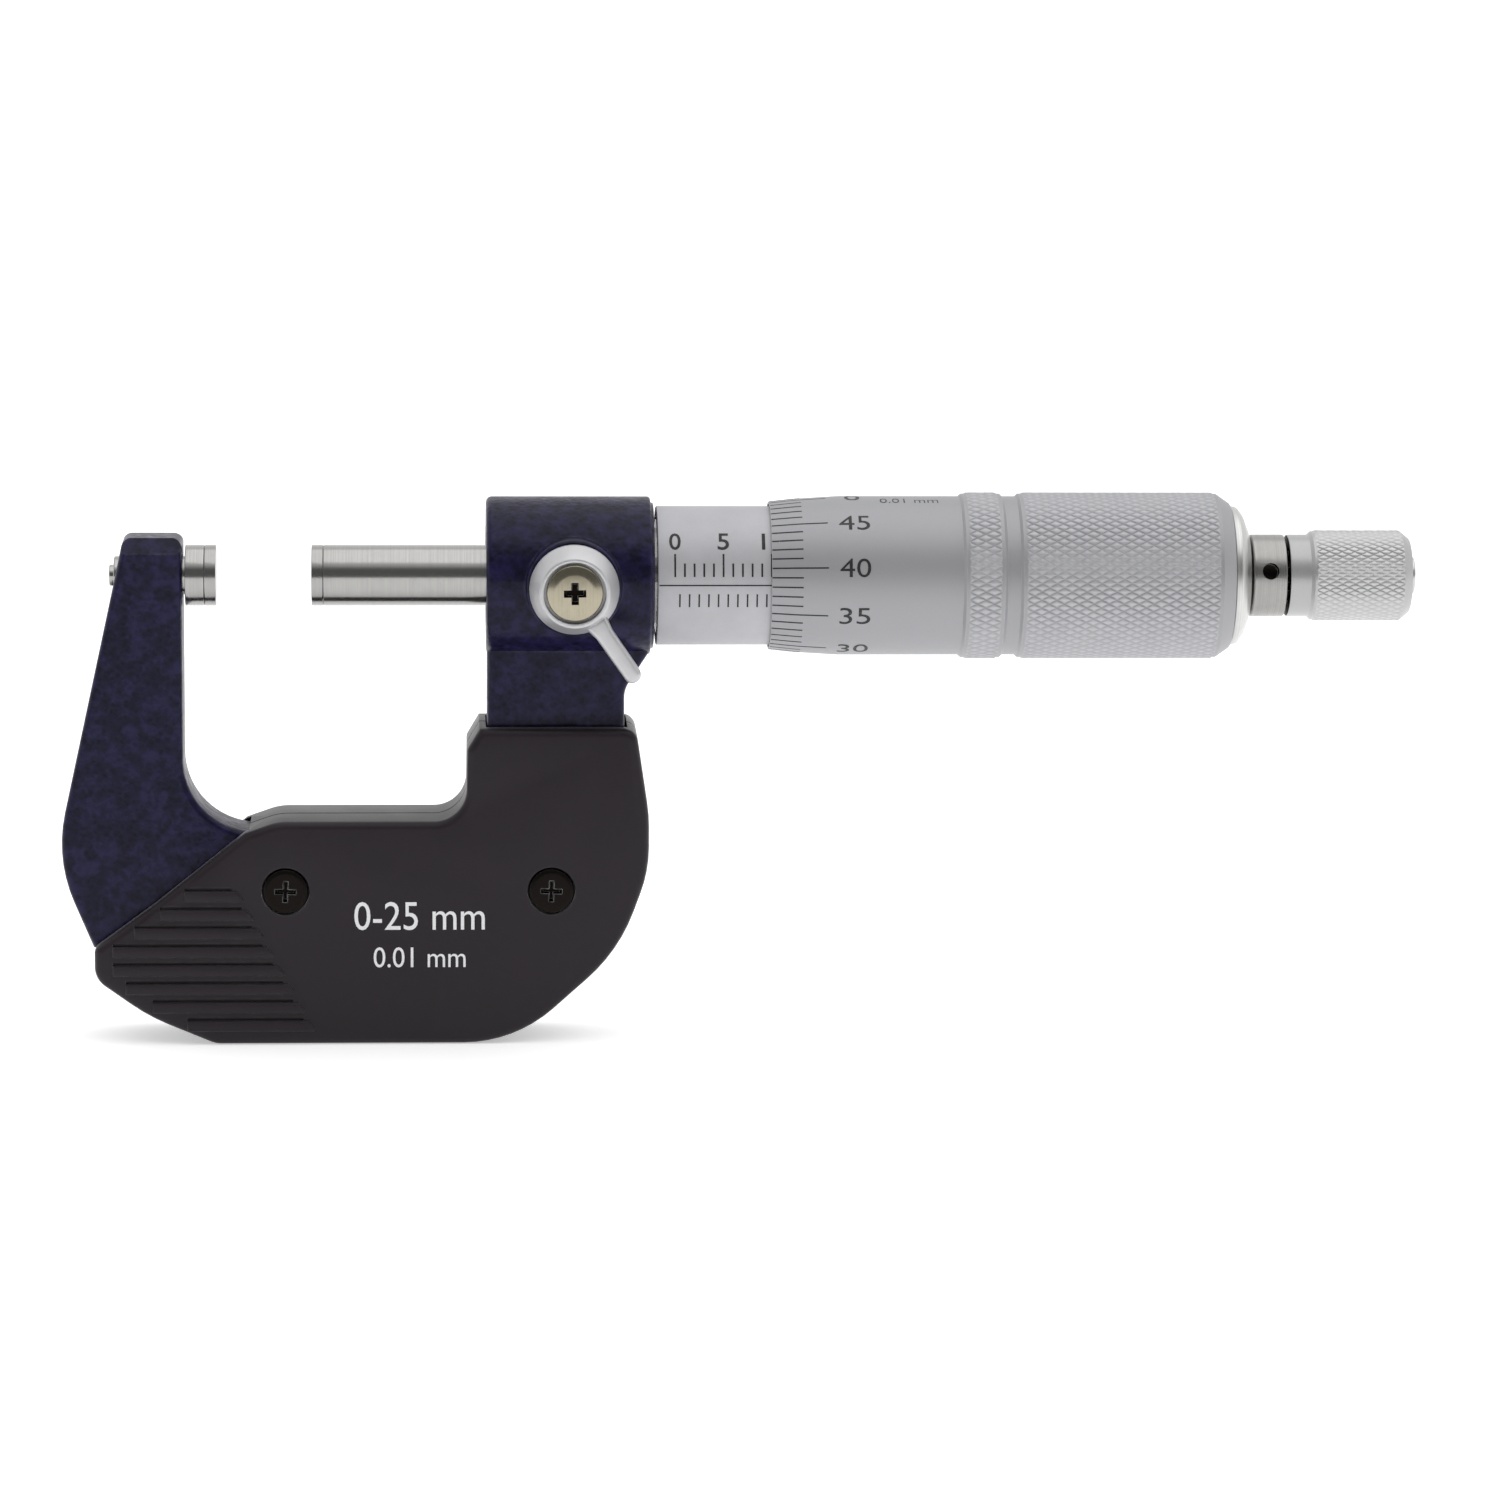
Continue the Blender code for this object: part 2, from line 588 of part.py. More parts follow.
# --- measuring faces, spindle, stem and sleeve ------------------------------------------
def make_anvil(parts, steel, carbide):
    outer = ARM_INNER_X - ARM_WIDTH - 1.05 * MM
    turned("anvil", [
        (0.0, outer - ANVIL_TAIL), (ANVIL_TAIL_R, outer - ANVIL_TAIL), (ANVIL_TAIL_R, outer),
        (ANVIL_SHANK_R, outer), (ANVIL_SHANK_R, ARM_INNER_X + GAP),
        (SPINDLE_R, ARM_INNER_X + GAP), (SPINDLE_R, -TIP_LENGTH - GAP),
        (0.0, -TIP_LENGTH - GAP)], FINE, parts, steel)
    turned("anvil_tip", [
        (0.0, -TIP_LENGTH), (SPINDLE_R, -TIP_LENGTH), (SPINDLE_R, 0.0), (0.0, 0.0)],
        FINE, parts, carbide)


def make_spindle(parts, steel, carbide):
    turned("spindle_tip", [
        (0.0, READING), (SPINDLE_R, READING), (SPINDLE_R, READING + TIP_LENGTH),
        (0.0, READING + TIP_LENGTH)], FINE, parts, carbide)
    neck_x = SPINDLE_X + PLAIN_LENGTH
    thread_x = neck_x + NECK_LENGTH
    tapped_r = STUD_R + GAP
    tapped_x = DISC_X - STUD_LENGTH - GAP
    turned("spindle", [
        (0.0, SPINDLE_X), (SPINDLE_R, SPINDLE_X), (SPINDLE_R, neck_x), (NECK_R, neck_x),
        (NECK_R, thread_x), (THREAD_R, thread_x), (THREAD_R, SEAT_X),
        (SEAT_END_R, SPINDLE_END_X), (tapped_r, SPINDLE_END_X), (tapped_r, tapped_x),
        (0.0, tapped_x)], FINE, parts, steel)


def make_stem(parts, cutters, steel):
    shoulder_x = SLEEVE_X
    relief_x = SLEEVE_END_X + 0.3 * MM
    taper_x = relief_x + 2.2 * MM
    guide_r = SPINDLE_R + GAP
    guide_x = STEM_X + STEM_GUIDE
    thread_x = STEM_END_X - STEM_THREAD
    stem = turned("stem", [
        (guide_r, STEM_X), (STEM_R, STEM_X), (STEM_R, shoulder_x), (SEAT_R, shoulder_x),
        (SEAT_R, relief_x), (SEAT_R - 0.5 * MM, relief_x), (SEAT_R - 0.5 * MM, taper_x),
        (SEAT_R, taper_x), (SEAT_R - 0.4 * MM, STEM_END_X), (STEM_THREAD_R, STEM_END_X),
        (STEM_THREAD_R, thread_x), (STEM_CHAMBER_R, thread_x), (STEM_CHAMBER_R, guide_x),
        (guide_r, guide_x)], FINE, parts, steel)
    cut(stem, rod("shoe_hole", SHOE_R + GAP, 1.0 * MM, STEM_R + 1.0 * MM, cutters,
                  to_front(LOCK_X)))
    nut_x = taper_x + 0.5 * MM
    chamfer = 0.4 * MM
    turned("thread_adjust_nut", [
        (SEAT_R + GAP, nut_x), (NUT_R - chamfer, nut_x), (NUT_R, nut_x + chamfer),
        (NUT_R, nut_x + NUT_LENGTH - chamfer), (NUT_R - chamfer, nut_x + NUT_LENGTH),
        (SEAT_R + GAP, nut_x + NUT_LENGTH)], COARSE, parts, steel)


def make_sleeve(parts, cutters, chrome):
    bore = SEAT_R + GAP
    chamfer = 0.2 * MM
    sleeve = turned("sleeve", [
        (bore, SLEEVE_X), (SLEEVE_R - chamfer, SLEEVE_X), (SLEEVE_R, SLEEVE_X + chamfer),
        (SLEEVE_R, SLEEVE_END_X - chamfer), (SLEEVE_R - chamfer, SLEEVE_END_X),
        (bore, SLEEVE_END_X)], FINE, parts, chrome)
    cut(sleeve, rod("spanner_hole", SPANNER_HOLE_R, SEAT_R - 1.0 * MM, SLEEVE_R + 1.0 * MM,
                    cutters, to_back(SLEEVE_X + ZERO_FROM_SLEEVE)))


# --- thimble and ratchet ----------------------------------------------------------------
def make_thimble(parts, chrome, polished):
    band = EDGE_X + BAND_FROM_EDGE
    groove = band + BAND_LENGTH
    knurl = groove + GROOVE_LENGTH
    knurl_end = knurl + KNURL_LENGTH
    edge = 0.35 * MM
    bulge = THIMBLE_EDGE_R + 0.55 * (THIMBLE_R - THIMBLE_EDGE_R)
    slope = (THREAD_R - SEAT_END_R) / SEAT_LENGTH
    floor_r = THREAD_R - slope * (FLOOR_X - SEAT_X) + GAP
    seat_r = SEAT_END_R + GAP
    turned("thimble", [
        (THIMBLE_BORE_R, EDGE_X), (THIMBLE_EDGE_R, EDGE_X),
        (bulge, EDGE_X + 0.4 * BEVEL_LENGTH), (THIMBLE_R, EDGE_X + BEVEL_LENGTH),
        (THIMBLE_R, band), (BAND_R - edge, band), (BAND_R, band + edge),
        (BAND_R, groove - edge), (BAND_R - edge, groove), (THIMBLE_R, groove),
        (THIMBLE_R, knurl), (KNURL_R - edge, knurl), (KNURL_R, knurl + edge),
        (KNURL_R, knurl_end), (THIMBLE_END_R, THIMBLE_END_X), (seat_r, THIMBLE_END_X),
        (seat_r, SPINDLE_END_X), (floor_r, FLOOR_X), (THIMBLE_BORE_R, FLOOR_X)],
        FINE, parts, chrome)
    turned("thimble_cap", [
        (STUD_R + GAP, CAP_X), (CAP_R, CAP_X), (CAP_R - 0.15 * MM, CAP_X + 0.35 * MM),
        (CAP_R - 0.9 * MM, CAP_X + 1.05 * MM), (CAP_R - 2.3 * MM, CAP_X + CAP_LENGTH),
        (STUD_R + GAP, CAP_X + CAP_LENGTH)], FINE, parts, polished)


def toothed_ring(name, inner, outer, low, high, raised, lift, collection, made):
    """A ring whose vertices at one end are lifted at every second step."""
    ring = turned(name, [(inner, low), (outer, low), (outer, high), (inner, high)],
                  2 * TEETH, collection, made)
    mesh = evaluated_mesh(ring)
    for vert in mesh.vertices:
        step = math.atan2(vert.co.y, vert.co.x) / (math.pi / TEETH)
        if abs(vert.co.z - raised) < 0.000001 and round(step) % 2:
            vert.co.z += lift
    ring.modifiers.clear()
    ring.data = mesh
    return ring


def make_ratchet(parts, cutters, chrome, steel):
    edge = 0.25 * MM
    body = turned("ratchet_body", [
        (0.0, DISC_X - STUD_LENGTH), (STUD_R, DISC_X - STUD_LENGTH), (STUD_R, DISC_X),
        (DISC_R - edge, DISC_X), (DISC_R, DISC_X + edge), (DISC_R, DISC_END_X - edge),
        (DISC_R - edge, DISC_END_X), (SPIGOT_R, DISC_END_X), (SPIGOT_R, SPIGOT_END_X),
        (TAPPED_R, SPIGOT_END_X), (TAPPED_R, SPIGOT_END_X - 6.0 * MM),
        (0.0, SPIGOT_END_X - 6.0 * MM)], FINE, parts, chrome)
    inner = SPIGOT_R + GAP
    join(body, toothed_ring("disc_teeth", inner, TEETH_R, DISC_END_X - 0.3 * MM, DISC_END_X,
                            DISC_END_X, TOOTH_HEIGHT, cutters, None))
    aim = Matrix.Rotation(-TOMMY_HOLE_ANGLE, 4, "X")
    cut(body, rod("tommy_hole", TOMMY_HOLE_R, DISC_R - TOMMY_HOLE_DEPTH, DISC_R + 1.0 * MM,
                  cutters, Matrix.Translation((DISC_X + 0.5 * DISC_LENGTH, 0, 0)) @ aim @ TO_FRONT))
    clutch_x = DISC_END_X + GAP
    clutch_end = clutch_x + CLUTCH_LENGTH
    toothed_ring("ratchet_clutch", inner, TEETH_R, clutch_x, clutch_end, clutch_x,
                 TOOTH_HEIGHT, parts, steel)
    make_spring(clutch_end + GAP, KNOB_X + KNOB_CAVITY - GAP, parts, steel)
    make_knob(parts, cutters, chrome)


def make_spring(low, high, parts, steel):
    """Coil spring between the clutch and the floor of the knob's cavity."""
    radius = (SPIGOT_R + KNOB_CAVITY_R) / 2
    steps = 10 * SPRING_TURNS
    curve = bpy.data.curves.new("ratchet_spring", "CURVE")
    curve.dimensions = "3D"
    curve.bevel_depth = SPRING_WIRE_R
    curve.bevel_resolution = 2
    curve.use_fill_caps = True
    spline = curve.splines.new("POLY")
    spline.points.add(steps)
    rise = high - low - 2 * SPRING_WIRE_R
    for index, point in enumerate(spline.points):
        angle = math.tau * SPRING_TURNS * index / steps
        point.co = (low + SPRING_WIRE_R + rise * index / steps, radius * math.cos(angle),
                    radius * math.sin(angle), 1.0)
    coil = bpy.data.objects.new("coil", curve)
    bpy.context.scene.collection.objects.link(coil)
    mesh = evaluated_mesh(coil)
    bpy.data.objects.remove(coil, do_unlink=True)
    bm = bmesh.new()
    bm.from_mesh(mesh)
    bmesh.ops.remove_doubles(bm, verts=bm.verts, dist=0.000001)
    bmesh.ops.recalc_face_normals(bm, faces=bm.faces)
    bm.to_mesh(mesh)
    bm.free()
    mesh.materials.clear()
    return finish_object(bpy.data.objects.new("ratchet_spring", mesh), parts, steel)


def make_knob(parts, cutters, chrome):
    collar = KNOB_X + KNOB_COLLAR
    cavity = KNOB_X + KNOB_CAVITY
    bore = SPIGOT_R + GAP
    pocket_r = END_SCREW_FLANGE_R + GAP
    turned("ratchet_knob", [
        (KNOB_CAVITY_R, KNOB_X), (DISC_R, KNOB_X), (DISC_R, collar),
        (KNOB_R, collar + 0.4 * MM), (KNOB_R, KNOB_END_X - KNOB_CHAMFER),
        (KNOB_R - 0.75 * MM, KNOB_END_X), (pocket_r, KNOB_END_X), (pocket_r, SPIGOT_END_X),
        (bore, SPIGOT_END_X), (bore, cavity), (KNOB_CAVITY_R, cavity)], FINE, parts, chrome)
    shank_r = TAPPED_R - GAP
    head_x = SPIGOT_END_X + GAP
    end_x = KNOB_END_X + END_SCREW_STICKOUT
    screw = turned("ratchet_screw", [
        (0.0, SPIGOT_END_X - 5.5 * MM), (shank_r, SPIGOT_END_X - 5.5 * MM), (shank_r, head_x),
        (END_SCREW_FLANGE_R, head_x), (END_SCREW_FLANGE_R, head_x + 0.7 * MM),
        (END_SCREW_R, head_x + 0.7 * MM), (END_SCREW_R, end_x - 0.2 * MM),
        (END_SCREW_R - 0.2 * MM, end_x), (0.0, end_x)], COARSE, parts, chrome)
    cut(screw, box("end_slot", (end_x, 0, 0), (1.2 * MM, 0.5 * MM, 3 * END_SCREW_R), cutters))


# --- lock -------------------------------------------------------------------------------
def make_lock(parts, cutters, satin, screw_metal, brass):
    here = to_front(LOCK_X)
    pocket = LEVER_HEAD_R + 0.25 * MM
    top = LEVER_H + LEVER_HEIGHT
    socket_r = BOLT_HEAD_R + GAP
    shank_hole = TAPPED_R
    lever = turned("lock_lever", [
        (socket_r, LEVER_H), (LEVER_R, LEVER_H), (LEVER_R, LEVER_H + 0.6 * MM),
        (LEVER_R - 0.3 * MM, LEVER_H + 1.9 * MM), (LEVER_TOP_R, top), (pocket, top),
        (pocket, SEAT_H), (shank_hole, SEAT_H), (shank_hole, BOLT_TOP_H + GAP),
        (socket_r, BOLT_TOP_H + GAP)], FINE, parts, satin, here)
    root = pocket + 0.4 * MM
    arm = plate("lever_arm", rounded([
        (root, -LEVER_WIDTH / 2, 0.0), (LEVER_REACH, -LEVER_TIP_WIDTH / 2, 0.8 * MM),
        (LEVER_REACH, LEVER_TIP_WIDTH / 2, 0.8 * MM), (root, LEVER_WIDTH / 2, 0.0)],
        math.radians(22.5)), LEVER_H + 0.5 * MM, LEVER_H + 2.1 * MM, cutters, None,
        here @ Matrix.Rotation(LEVER_ANGLE, 4, "Z"))
    join(lever, arm)
    under = SEAT_H + GAP
    screw = turned("lock_lever_screw", [
        (0.0, BOLT_TOP_H - 3.4 * MM), (TAPPED_R - GAP, BOLT_TOP_H - 3.4 * MM),
        (TAPPED_R - GAP, under), (LEVER_HEAD_R, under), (LEVER_HEAD_R, under + 0.55 * MM),
        (LEVER_HEAD_R - 0.5 * MM, under + 0.9 * MM), (0.0, under + 1.05 * MM)],
        COARSE, parts, screw_metal, here)
    cut(screw, plate("lever_screw_recess", cross_outline(1.35 * MM, 0.8 * MM),
                     under + 0.3 * MM, under + 2.0 * MM, cutters, None, here @ RECESS_TURN))
    turned("lock_bolt", [
        (0.0, BOLT_H), (BOLT_R, BOLT_H), (BOLT_R, LEVER_H), (BOLT_HEAD_R, LEVER_H),
        (BOLT_HEAD_R, BOLT_TOP_H), (TAPPED_R, BOLT_TOP_H), (TAPPED_R, BOLT_TOP_H - 3.8 * MM),
        (0.0, BOLT_TOP_H - 3.8 * MM)], COARSE, parts, screw_metal, here)
    turned("lock_shoe", [
        (0.0, SHOE_H), (SHOE_R, SHOE_H), (SHOE_R, BOLT_H - GAP), (0.0, BOLT_H - GAP)],
        COARSE, parts, brass, here)


def main():
    clear_scene()
    parts = new_collection("outside_micrometer")
    cutters = new_collection("cutters")
    paint = material("navy_hammertone_paint", (0.035, 0.045, 0.075), 0.38, 0.2)
    plastic = material("charcoal_plastic", (0.045, 0.043, 0.042), 0.55, 0.0)
    steel = material("ground_steel", (0.60, 0.59, 0.57), 0.22, 1.0)
    carbide = material("carbide", (0.42, 0.42, 0.42), 0.25, 1.0)
    chrome = material("satin_chrome", (0.70, 0.70, 0.69), 0.34, 1.0)
    polished = material("polished_chrome", (0.78, 0.78, 0.77), 0.10, 1.0)
    black = material("black_oxide", (0.02, 0.02, 0.022), 0.35, 0.8)
    nickel = material("nickel", (0.66, 0.62, 0.54), 0.25, 1.0)
    brass = material("brass", (0.70, 0.52, 0.24), 0.30, 1.0)
    make_frame(parts, cutters, paint)
    make_shield("front_shield", "front", parts, cutters, plastic)
    make_shield("rear_shield", "rear", parts, cutters, plastic)
    make_shield_screws(parts, cutters, black)
    make_anvil(parts, steel, carbide)
    make_spindle(parts, steel, carbide)
    make_stem(parts, cutters, steel)
    make_sleeve(parts, cutters, chrome)
    make_thimble(parts, chrome, polished)
    make_ratchet(parts, cutters, chrome, steel)
    make_lock(parts, cutters, chrome, nickel, brass)


main()
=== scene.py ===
"""Outside micrometer, 0 to 25 mm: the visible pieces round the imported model."""
import math

import bmesh
import bpy
from mathutils import Matrix, Vector


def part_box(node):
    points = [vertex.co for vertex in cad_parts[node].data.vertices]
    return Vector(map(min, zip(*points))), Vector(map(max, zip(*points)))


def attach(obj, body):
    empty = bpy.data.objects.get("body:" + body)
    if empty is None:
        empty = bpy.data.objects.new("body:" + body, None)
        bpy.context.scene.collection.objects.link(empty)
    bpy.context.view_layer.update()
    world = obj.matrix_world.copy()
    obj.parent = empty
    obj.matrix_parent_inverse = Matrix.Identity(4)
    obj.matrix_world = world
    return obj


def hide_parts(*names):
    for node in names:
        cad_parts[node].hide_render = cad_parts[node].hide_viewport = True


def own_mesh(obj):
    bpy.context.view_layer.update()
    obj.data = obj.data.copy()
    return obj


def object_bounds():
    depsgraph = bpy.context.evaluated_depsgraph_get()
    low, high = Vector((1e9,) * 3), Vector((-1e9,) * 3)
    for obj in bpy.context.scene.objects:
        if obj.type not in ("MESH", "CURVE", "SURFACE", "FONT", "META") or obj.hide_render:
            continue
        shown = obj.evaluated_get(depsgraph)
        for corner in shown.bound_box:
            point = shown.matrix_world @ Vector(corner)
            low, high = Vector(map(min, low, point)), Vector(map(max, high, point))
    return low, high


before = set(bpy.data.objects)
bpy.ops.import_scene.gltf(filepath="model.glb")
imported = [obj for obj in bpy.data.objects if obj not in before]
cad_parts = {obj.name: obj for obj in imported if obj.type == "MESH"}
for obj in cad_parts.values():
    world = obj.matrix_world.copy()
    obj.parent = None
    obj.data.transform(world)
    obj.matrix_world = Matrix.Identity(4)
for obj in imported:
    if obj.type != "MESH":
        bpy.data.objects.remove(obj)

bl_info = {
    "name": "Outside Micrometer",
    "version": (1, 0, 0),
    "blender": (4, 5, 0),
    "location": "View3D > Sidebar > Micrometer",
    "description": "Builds the visible pieces of an outside micrometer round its packed model",
    "category": "Object",
}

# --- places and sizes, in metres --------------------------------------------------------
MM = 0.001
CAD_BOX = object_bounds()


def low(node):
    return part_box(node)[0]


def high(node):
    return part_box(node)[1]


def middle(node):
    return (low(node) + high(node)) / 2


SPINDLE_R = high("anvil_tip").z
TIP_LENGTH = -low("anvil_tip").x
ARM_INNER_X = -3.5 * MM
ARM_WIDTH = 6.05 * MM
ARM_TOP_Z = 4.2 * MM
ARM_CHAMFER = 1.5 * MM
WEB_HALF = 3.5 * MM
THROAT_WIDTH = 31.5 * MM
THROAT_DEPTH = 26.6 * MM
FRAME_DEPTH = -low("frame").z
BACK_BULGE = 7.35 * MM
LEDGE_OFFSET = 3.4 * MM
LEDGE_DEPTH = 38.9 * MM
LEDGE_WIDTH = 1.7 * MM
LUG_X = ARM_INNER_X + THROAT_WIDTH
LUG_R = high("frame").z
SHOULDER = 0.3 * MM
LUG_END_X = high("frame").x - SHOULDER
RIGHT_WIDTH = 15.4 * MM
WEB_WIDTH = 14.4 * MM
STEM_R = 5.0 * MM
STEM_HOLE_R = 5.3 * MM
ANVIL_HOLE_R = 2.3 * MM
SHOULDER_R = 7.6 * MM
BOSS_R = 5.0 * MM
BOSS_HEIGHT = -low("frame").y
SHIELD_TOP = 15.4 * MM
RIB_HEIGHT = 0.3 * MM
SHIELD_Y = -low("front_shield").y - RIB_HEIGHT
SHIELD_STEP = 0.3 * MM
SHIELD_GAP = 0.3 * MM
SHIELD_WRAP = 1.6 * MM
SCREW_X = middle("front_shield_screw_left").x
SCREW_2_X = middle("front_shield_screw_right").x
SCREW_Z = middle("front_shield_screw_left").z
SCREW_HEAD_R = high("front_shield_screw_left").z - SCREW_Z
SCREW_TOP = -low("front_shield_screw_left").y
SCREW_HEAD = 1.0 * MM
SLEEVE_X = low("sleeve").x
SLEEVE_END_X = high("sleeve").x
SLEEVE_R = high("sleeve").z
SLEEVE_WALL = 1.05 * MM
SPANNER_X = SLEEVE_X + 1.9 * MM
ZERO_X = SPANNER_X - 0.12 * MM
EDGE_X = low("thimble").x
THIMBLE_END_X = high("thimble").x
THIMBLE_EDGE_R = 7.72 * MM
THIMBLE_BORE_R = 7.5 * MM
THIMBLE_R = 8.3 * MM
THIMBLE_END_R = 7.6 * MM
BAND_R = high("thimble").z
KNURL_R = BAND_R - 0.05 * MM
BEVEL_LENGTH = 7.2 * MM
BAND_X = EDGE_X + 19.85 * MM
GROOVE_X = BAND_X + 4.6 * MM
KNURL_X = GROOVE_X + 1.35 * MM
KNURL_END_X = KNURL_X + 21.1 * MM
CAP_X = low("thimble_cap").x
CAP_END_X = high("thimble_cap").x
CAP_R = high("thimble_cap").z
DISC_X = CAP_END_X + 0.3 * MM
DISC_END_X = DISC_X + 3.6 * MM
DISC_R = high("ratchet_body").z
KNOB_X = low("ratchet_knob").x
KNOB_END_X = high("ratchet_knob").x
KNOB_R = high("ratchet_knob").z
END_X = high("ratchet_screw").x
LOCK_X = middle("lock_lever_screw").x
LEVER_H = -high("lock_lever").y
LEVER_TOP_H = 13.0 * MM
LEVER_R = 4.63 * MM
LEVER_TOP_R = 3.5 * MM
LEVER_POCKET_R = 3.2 * MM
LEVER_HEAD_R = high("lock_lever_screw").z
LEVER_HEAD_H = -low("lock_lever_screw").y
LEVER_REACH = 11.4 * MM
LEVER_ANGLE = math.radians(-55.5)
TEETH = 12
THREAD_PITCH = 0.5 * MM
READING_LINE = 38.1  # thimble division that faces the datum line
FLOOR_Z = CAD_BOX[0].z

ARC_STEP = math.radians(5.0)
SIDES = 72
FINE_SIDES = 96
SMOOTH = math.radians(35.0)
STRIP_HEIGHT = 0.2 * MM
MARK_START = 12.0 * MM  # further out than any piece that carries marks
TOUCH = 0.001 * MM  # places closer than this are the same
HAIR = 0.01 * MM  # widens a range, so that it takes in its own ends


# --- settings shown in the sidebar ------------------------------------------------------
def colour(name, description, default):
    return bpy.props.FloatVectorProperty(name=name, description=description, default=default,
                                         size=3, min=0.0, max=1.0, subtype="COLOR")


def length(name, description, default):
    return bpy.props.FloatProperty(name=name, description=description, default=default,
                                   min=0.0, precision=5, unit="LENGTH", subtype="DISTANCE")


def amount(name, description, default, top=1.0):
    return bpy.props.FloatProperty(name=name, description=description, default=default,
                                   min=0.0, max=top, subtype="FACTOR" if top == 1.0 else "NONE")


class FrameSettings(bpy.types.PropertyGroup):
    paint: colour("Paint", "Navy of the hammertone paint", (0.0020, 0.0017, 0.0105))
    paint_light: colour("Raised Paint", "Navy on the crests of the hammered pattern",
                        (0.014, 0.012, 0.050))
    rim: length("Rim Rounding", "Rounding of the casting's rims", 0.7 * MM)
    hammer: length("Hammer Pitch", "Distance between the dimples of the paint", 0.65 * MM)


class ShieldSettings(bpy.types.PropertyGroup):
    plastic: colour("Plastic", "Colour of the moulded heat shields", (0.0195, 0.0145, 0.019))
    rim: length("Rim Rounding", "Rounding of the shields' outer rims", 0.8 * MM)
    rib_width: length("Rib Width", "Width of a grip rib", 1.1 * MM)
    rib_height: length("Rib Height", "How far a rib stands out of the shield", RIB_HEIGHT)
    print_white: colour("Print", "Colour of the pad-printed range", (0.82, 0.82, 0.84))
    print_height: length("Print Height", "Height of the printed range", 3.0 * MM)


class ScaleSettings(bpy.types.PropertyGroup):
    line: length("Line Width", "Width of an engraved division", 0.145 * MM)
    ink: colour("Ink", "Filling of the engraved marks", (0.009, 0.009, 0.010))
    sleeve_number: length("Sleeve Number", "Height of the sleeve's numbers", 1.95 * MM)
    thimble_number: length("Thimble Number", "Height of the thimble's numbers", 1.95 * MM)
    raised: length("Raised", "How far the ink stands off the metal", 0.012 * MM)


class GripSettings(bpy.types.PropertyGroup):
    thimble_count: bpy.props.IntProperty(
        name="Thimble Diamonds", description="Knurl diamonds round the thimble",
        default=62, min=12)
    knob_count: bpy.props.IntProperty(
        name="Knob Diamonds", description="Knurl diamonds round the ratchet knob",
        default=43, min=12)
    depth: length("Knurl Depth", "Depth of the knurl's grooves", 0.12 * MM)
    chrome: colour("Chrome", "Colour of the satin chrome", (0.55, 0.55, 0.575))


class StageSettings(bpy.types.PropertyGroup):
    floor: colour("Floor", "Colour of the floor", (0.92, 0.92, 0.92))
    glow: amount("Floor Glow", "Light that the floor gives off by itself", 0.42)
    surround: amount("Surround", "Brightness of the bright surroundings", 1.02, 4.0)
    shade: amount("Front Shade", "Brightness of the dark side behind the camera", 0.17, 4.0)
    key: amount("Overhead Light", "Power of the overhead soft light, in watts", 4.0, 500.0)
    lens: bpy.props.FloatProperty(name="Lens", description="Focal length in millimetres",
                                  default=147.1, min=1.0, subtype="NONE")


SETTINGS = {
    "mic_frame": FrameSettings,
    "mic_shield": ShieldSettings,
    "mic_scale": ScaleSettings,
    "mic_grip": GripSettings,
    "mic_stage": StageSettings,
}


# --- modelling helpers ------------------------------------------------------------------
def alone(obj):
    """Makes obj the only selected object, and the active one."""
    bpy.ops.object.select_all(action="DESELECT")
    obj.select_set(True)
    bpy.context.view_layer.objects.active = obj


def edit(obj):
    alone(obj)
    bpy.ops.object.mode_set(mode="EDIT")
    bpy.ops.mesh.select_mode(type="VERT")
    bpy.ops.mesh.select_all(action="SELECT")


def leave():
    bpy.ops.object.mode_set(mode="OBJECT")


def pick(kind, test):
    """Selects the vertices, edges or faces of the mesh in edit mode that pass a test."""
    bpy.ops.mesh.select_mode(type=kind)
    bpy.ops.mesh.select_all(action="DESELECT")
    mesh = bpy.context.edit_object.data
    bm = bmesh.from_edit_mesh(mesh)
    bm.verts.ensure_lookup_table()
    items = {"VERT": bm.verts, "EDGE": bm.edges, "FACE": bm.faces}[kind]
    chosen = [item for item in items if test(item)]
    for item in chosen:
        item.select_set(True)
    bm.select_flush_mode()
    bmesh.update_edit_mesh(mesh)


def apply_modifier(obj, kind, **values):
    alone(obj)
    modifier = obj.modifiers.new(kind.title(), kind)
    for key, value in values.items():
        setattr(modifier, key, value)
    bpy.ops.object.modifier_apply(modifier=modifier.name)


def combine(obj, other, operation, material=None):
    """Joins to obj, or cuts from it, another closed piece, which is used up."""
    if material:
        other.data.materials.append(material)
    apply_modifier(obj, "BOOLEAN", operation=operation, solver="EXACT", object=other,
                   material_mode="TRANSFER" if material else "INDEX")
    bpy.data.objects.remove(other, do_unlink=True)


def settle(obj):
    """Writes the object's own place and turn into its mesh."""
    alone(obj)
    bpy.ops.object.transform_apply(location=True, rotation=True, scale=True)


def clean(obj):
    edit(obj)
    bpy.ops.mesh.remove_doubles(threshold=TOUCH)
    bpy.ops.mesh.normals_make_consistent(inside=False)
    leave()


def arc_at(before, corner, after):
    """Start, centre and turn of the arc that rounds one corner of an outline."""
    x, z, radius = corner
    back = Vector((before[0] - x, before[1] - z))
    ahead = Vector((after[0] - x, after[1] - z))
    back_length, ahead_length = back.length, ahead.length
    back.normalize()
    ahead.normalize()
    half = math.acos(max(-1.0, min(1.0, back.dot(ahead)))) / 2
    reach = min(radius / math.tan(half), 0.49 * back_length, 0.49 * ahead_length)
    radius = reach * math.tan(half)
    here = Vector((x, z))
    centre = here + (back + ahead).normalized() * radius / math.sin(half)
    turn = math.pi - 2 * half
    if back.x * ahead.y - back.y * ahead.x > 0.0:
        turn = -turn
    return here + back * reach, centre, turn, here + ahead * reach


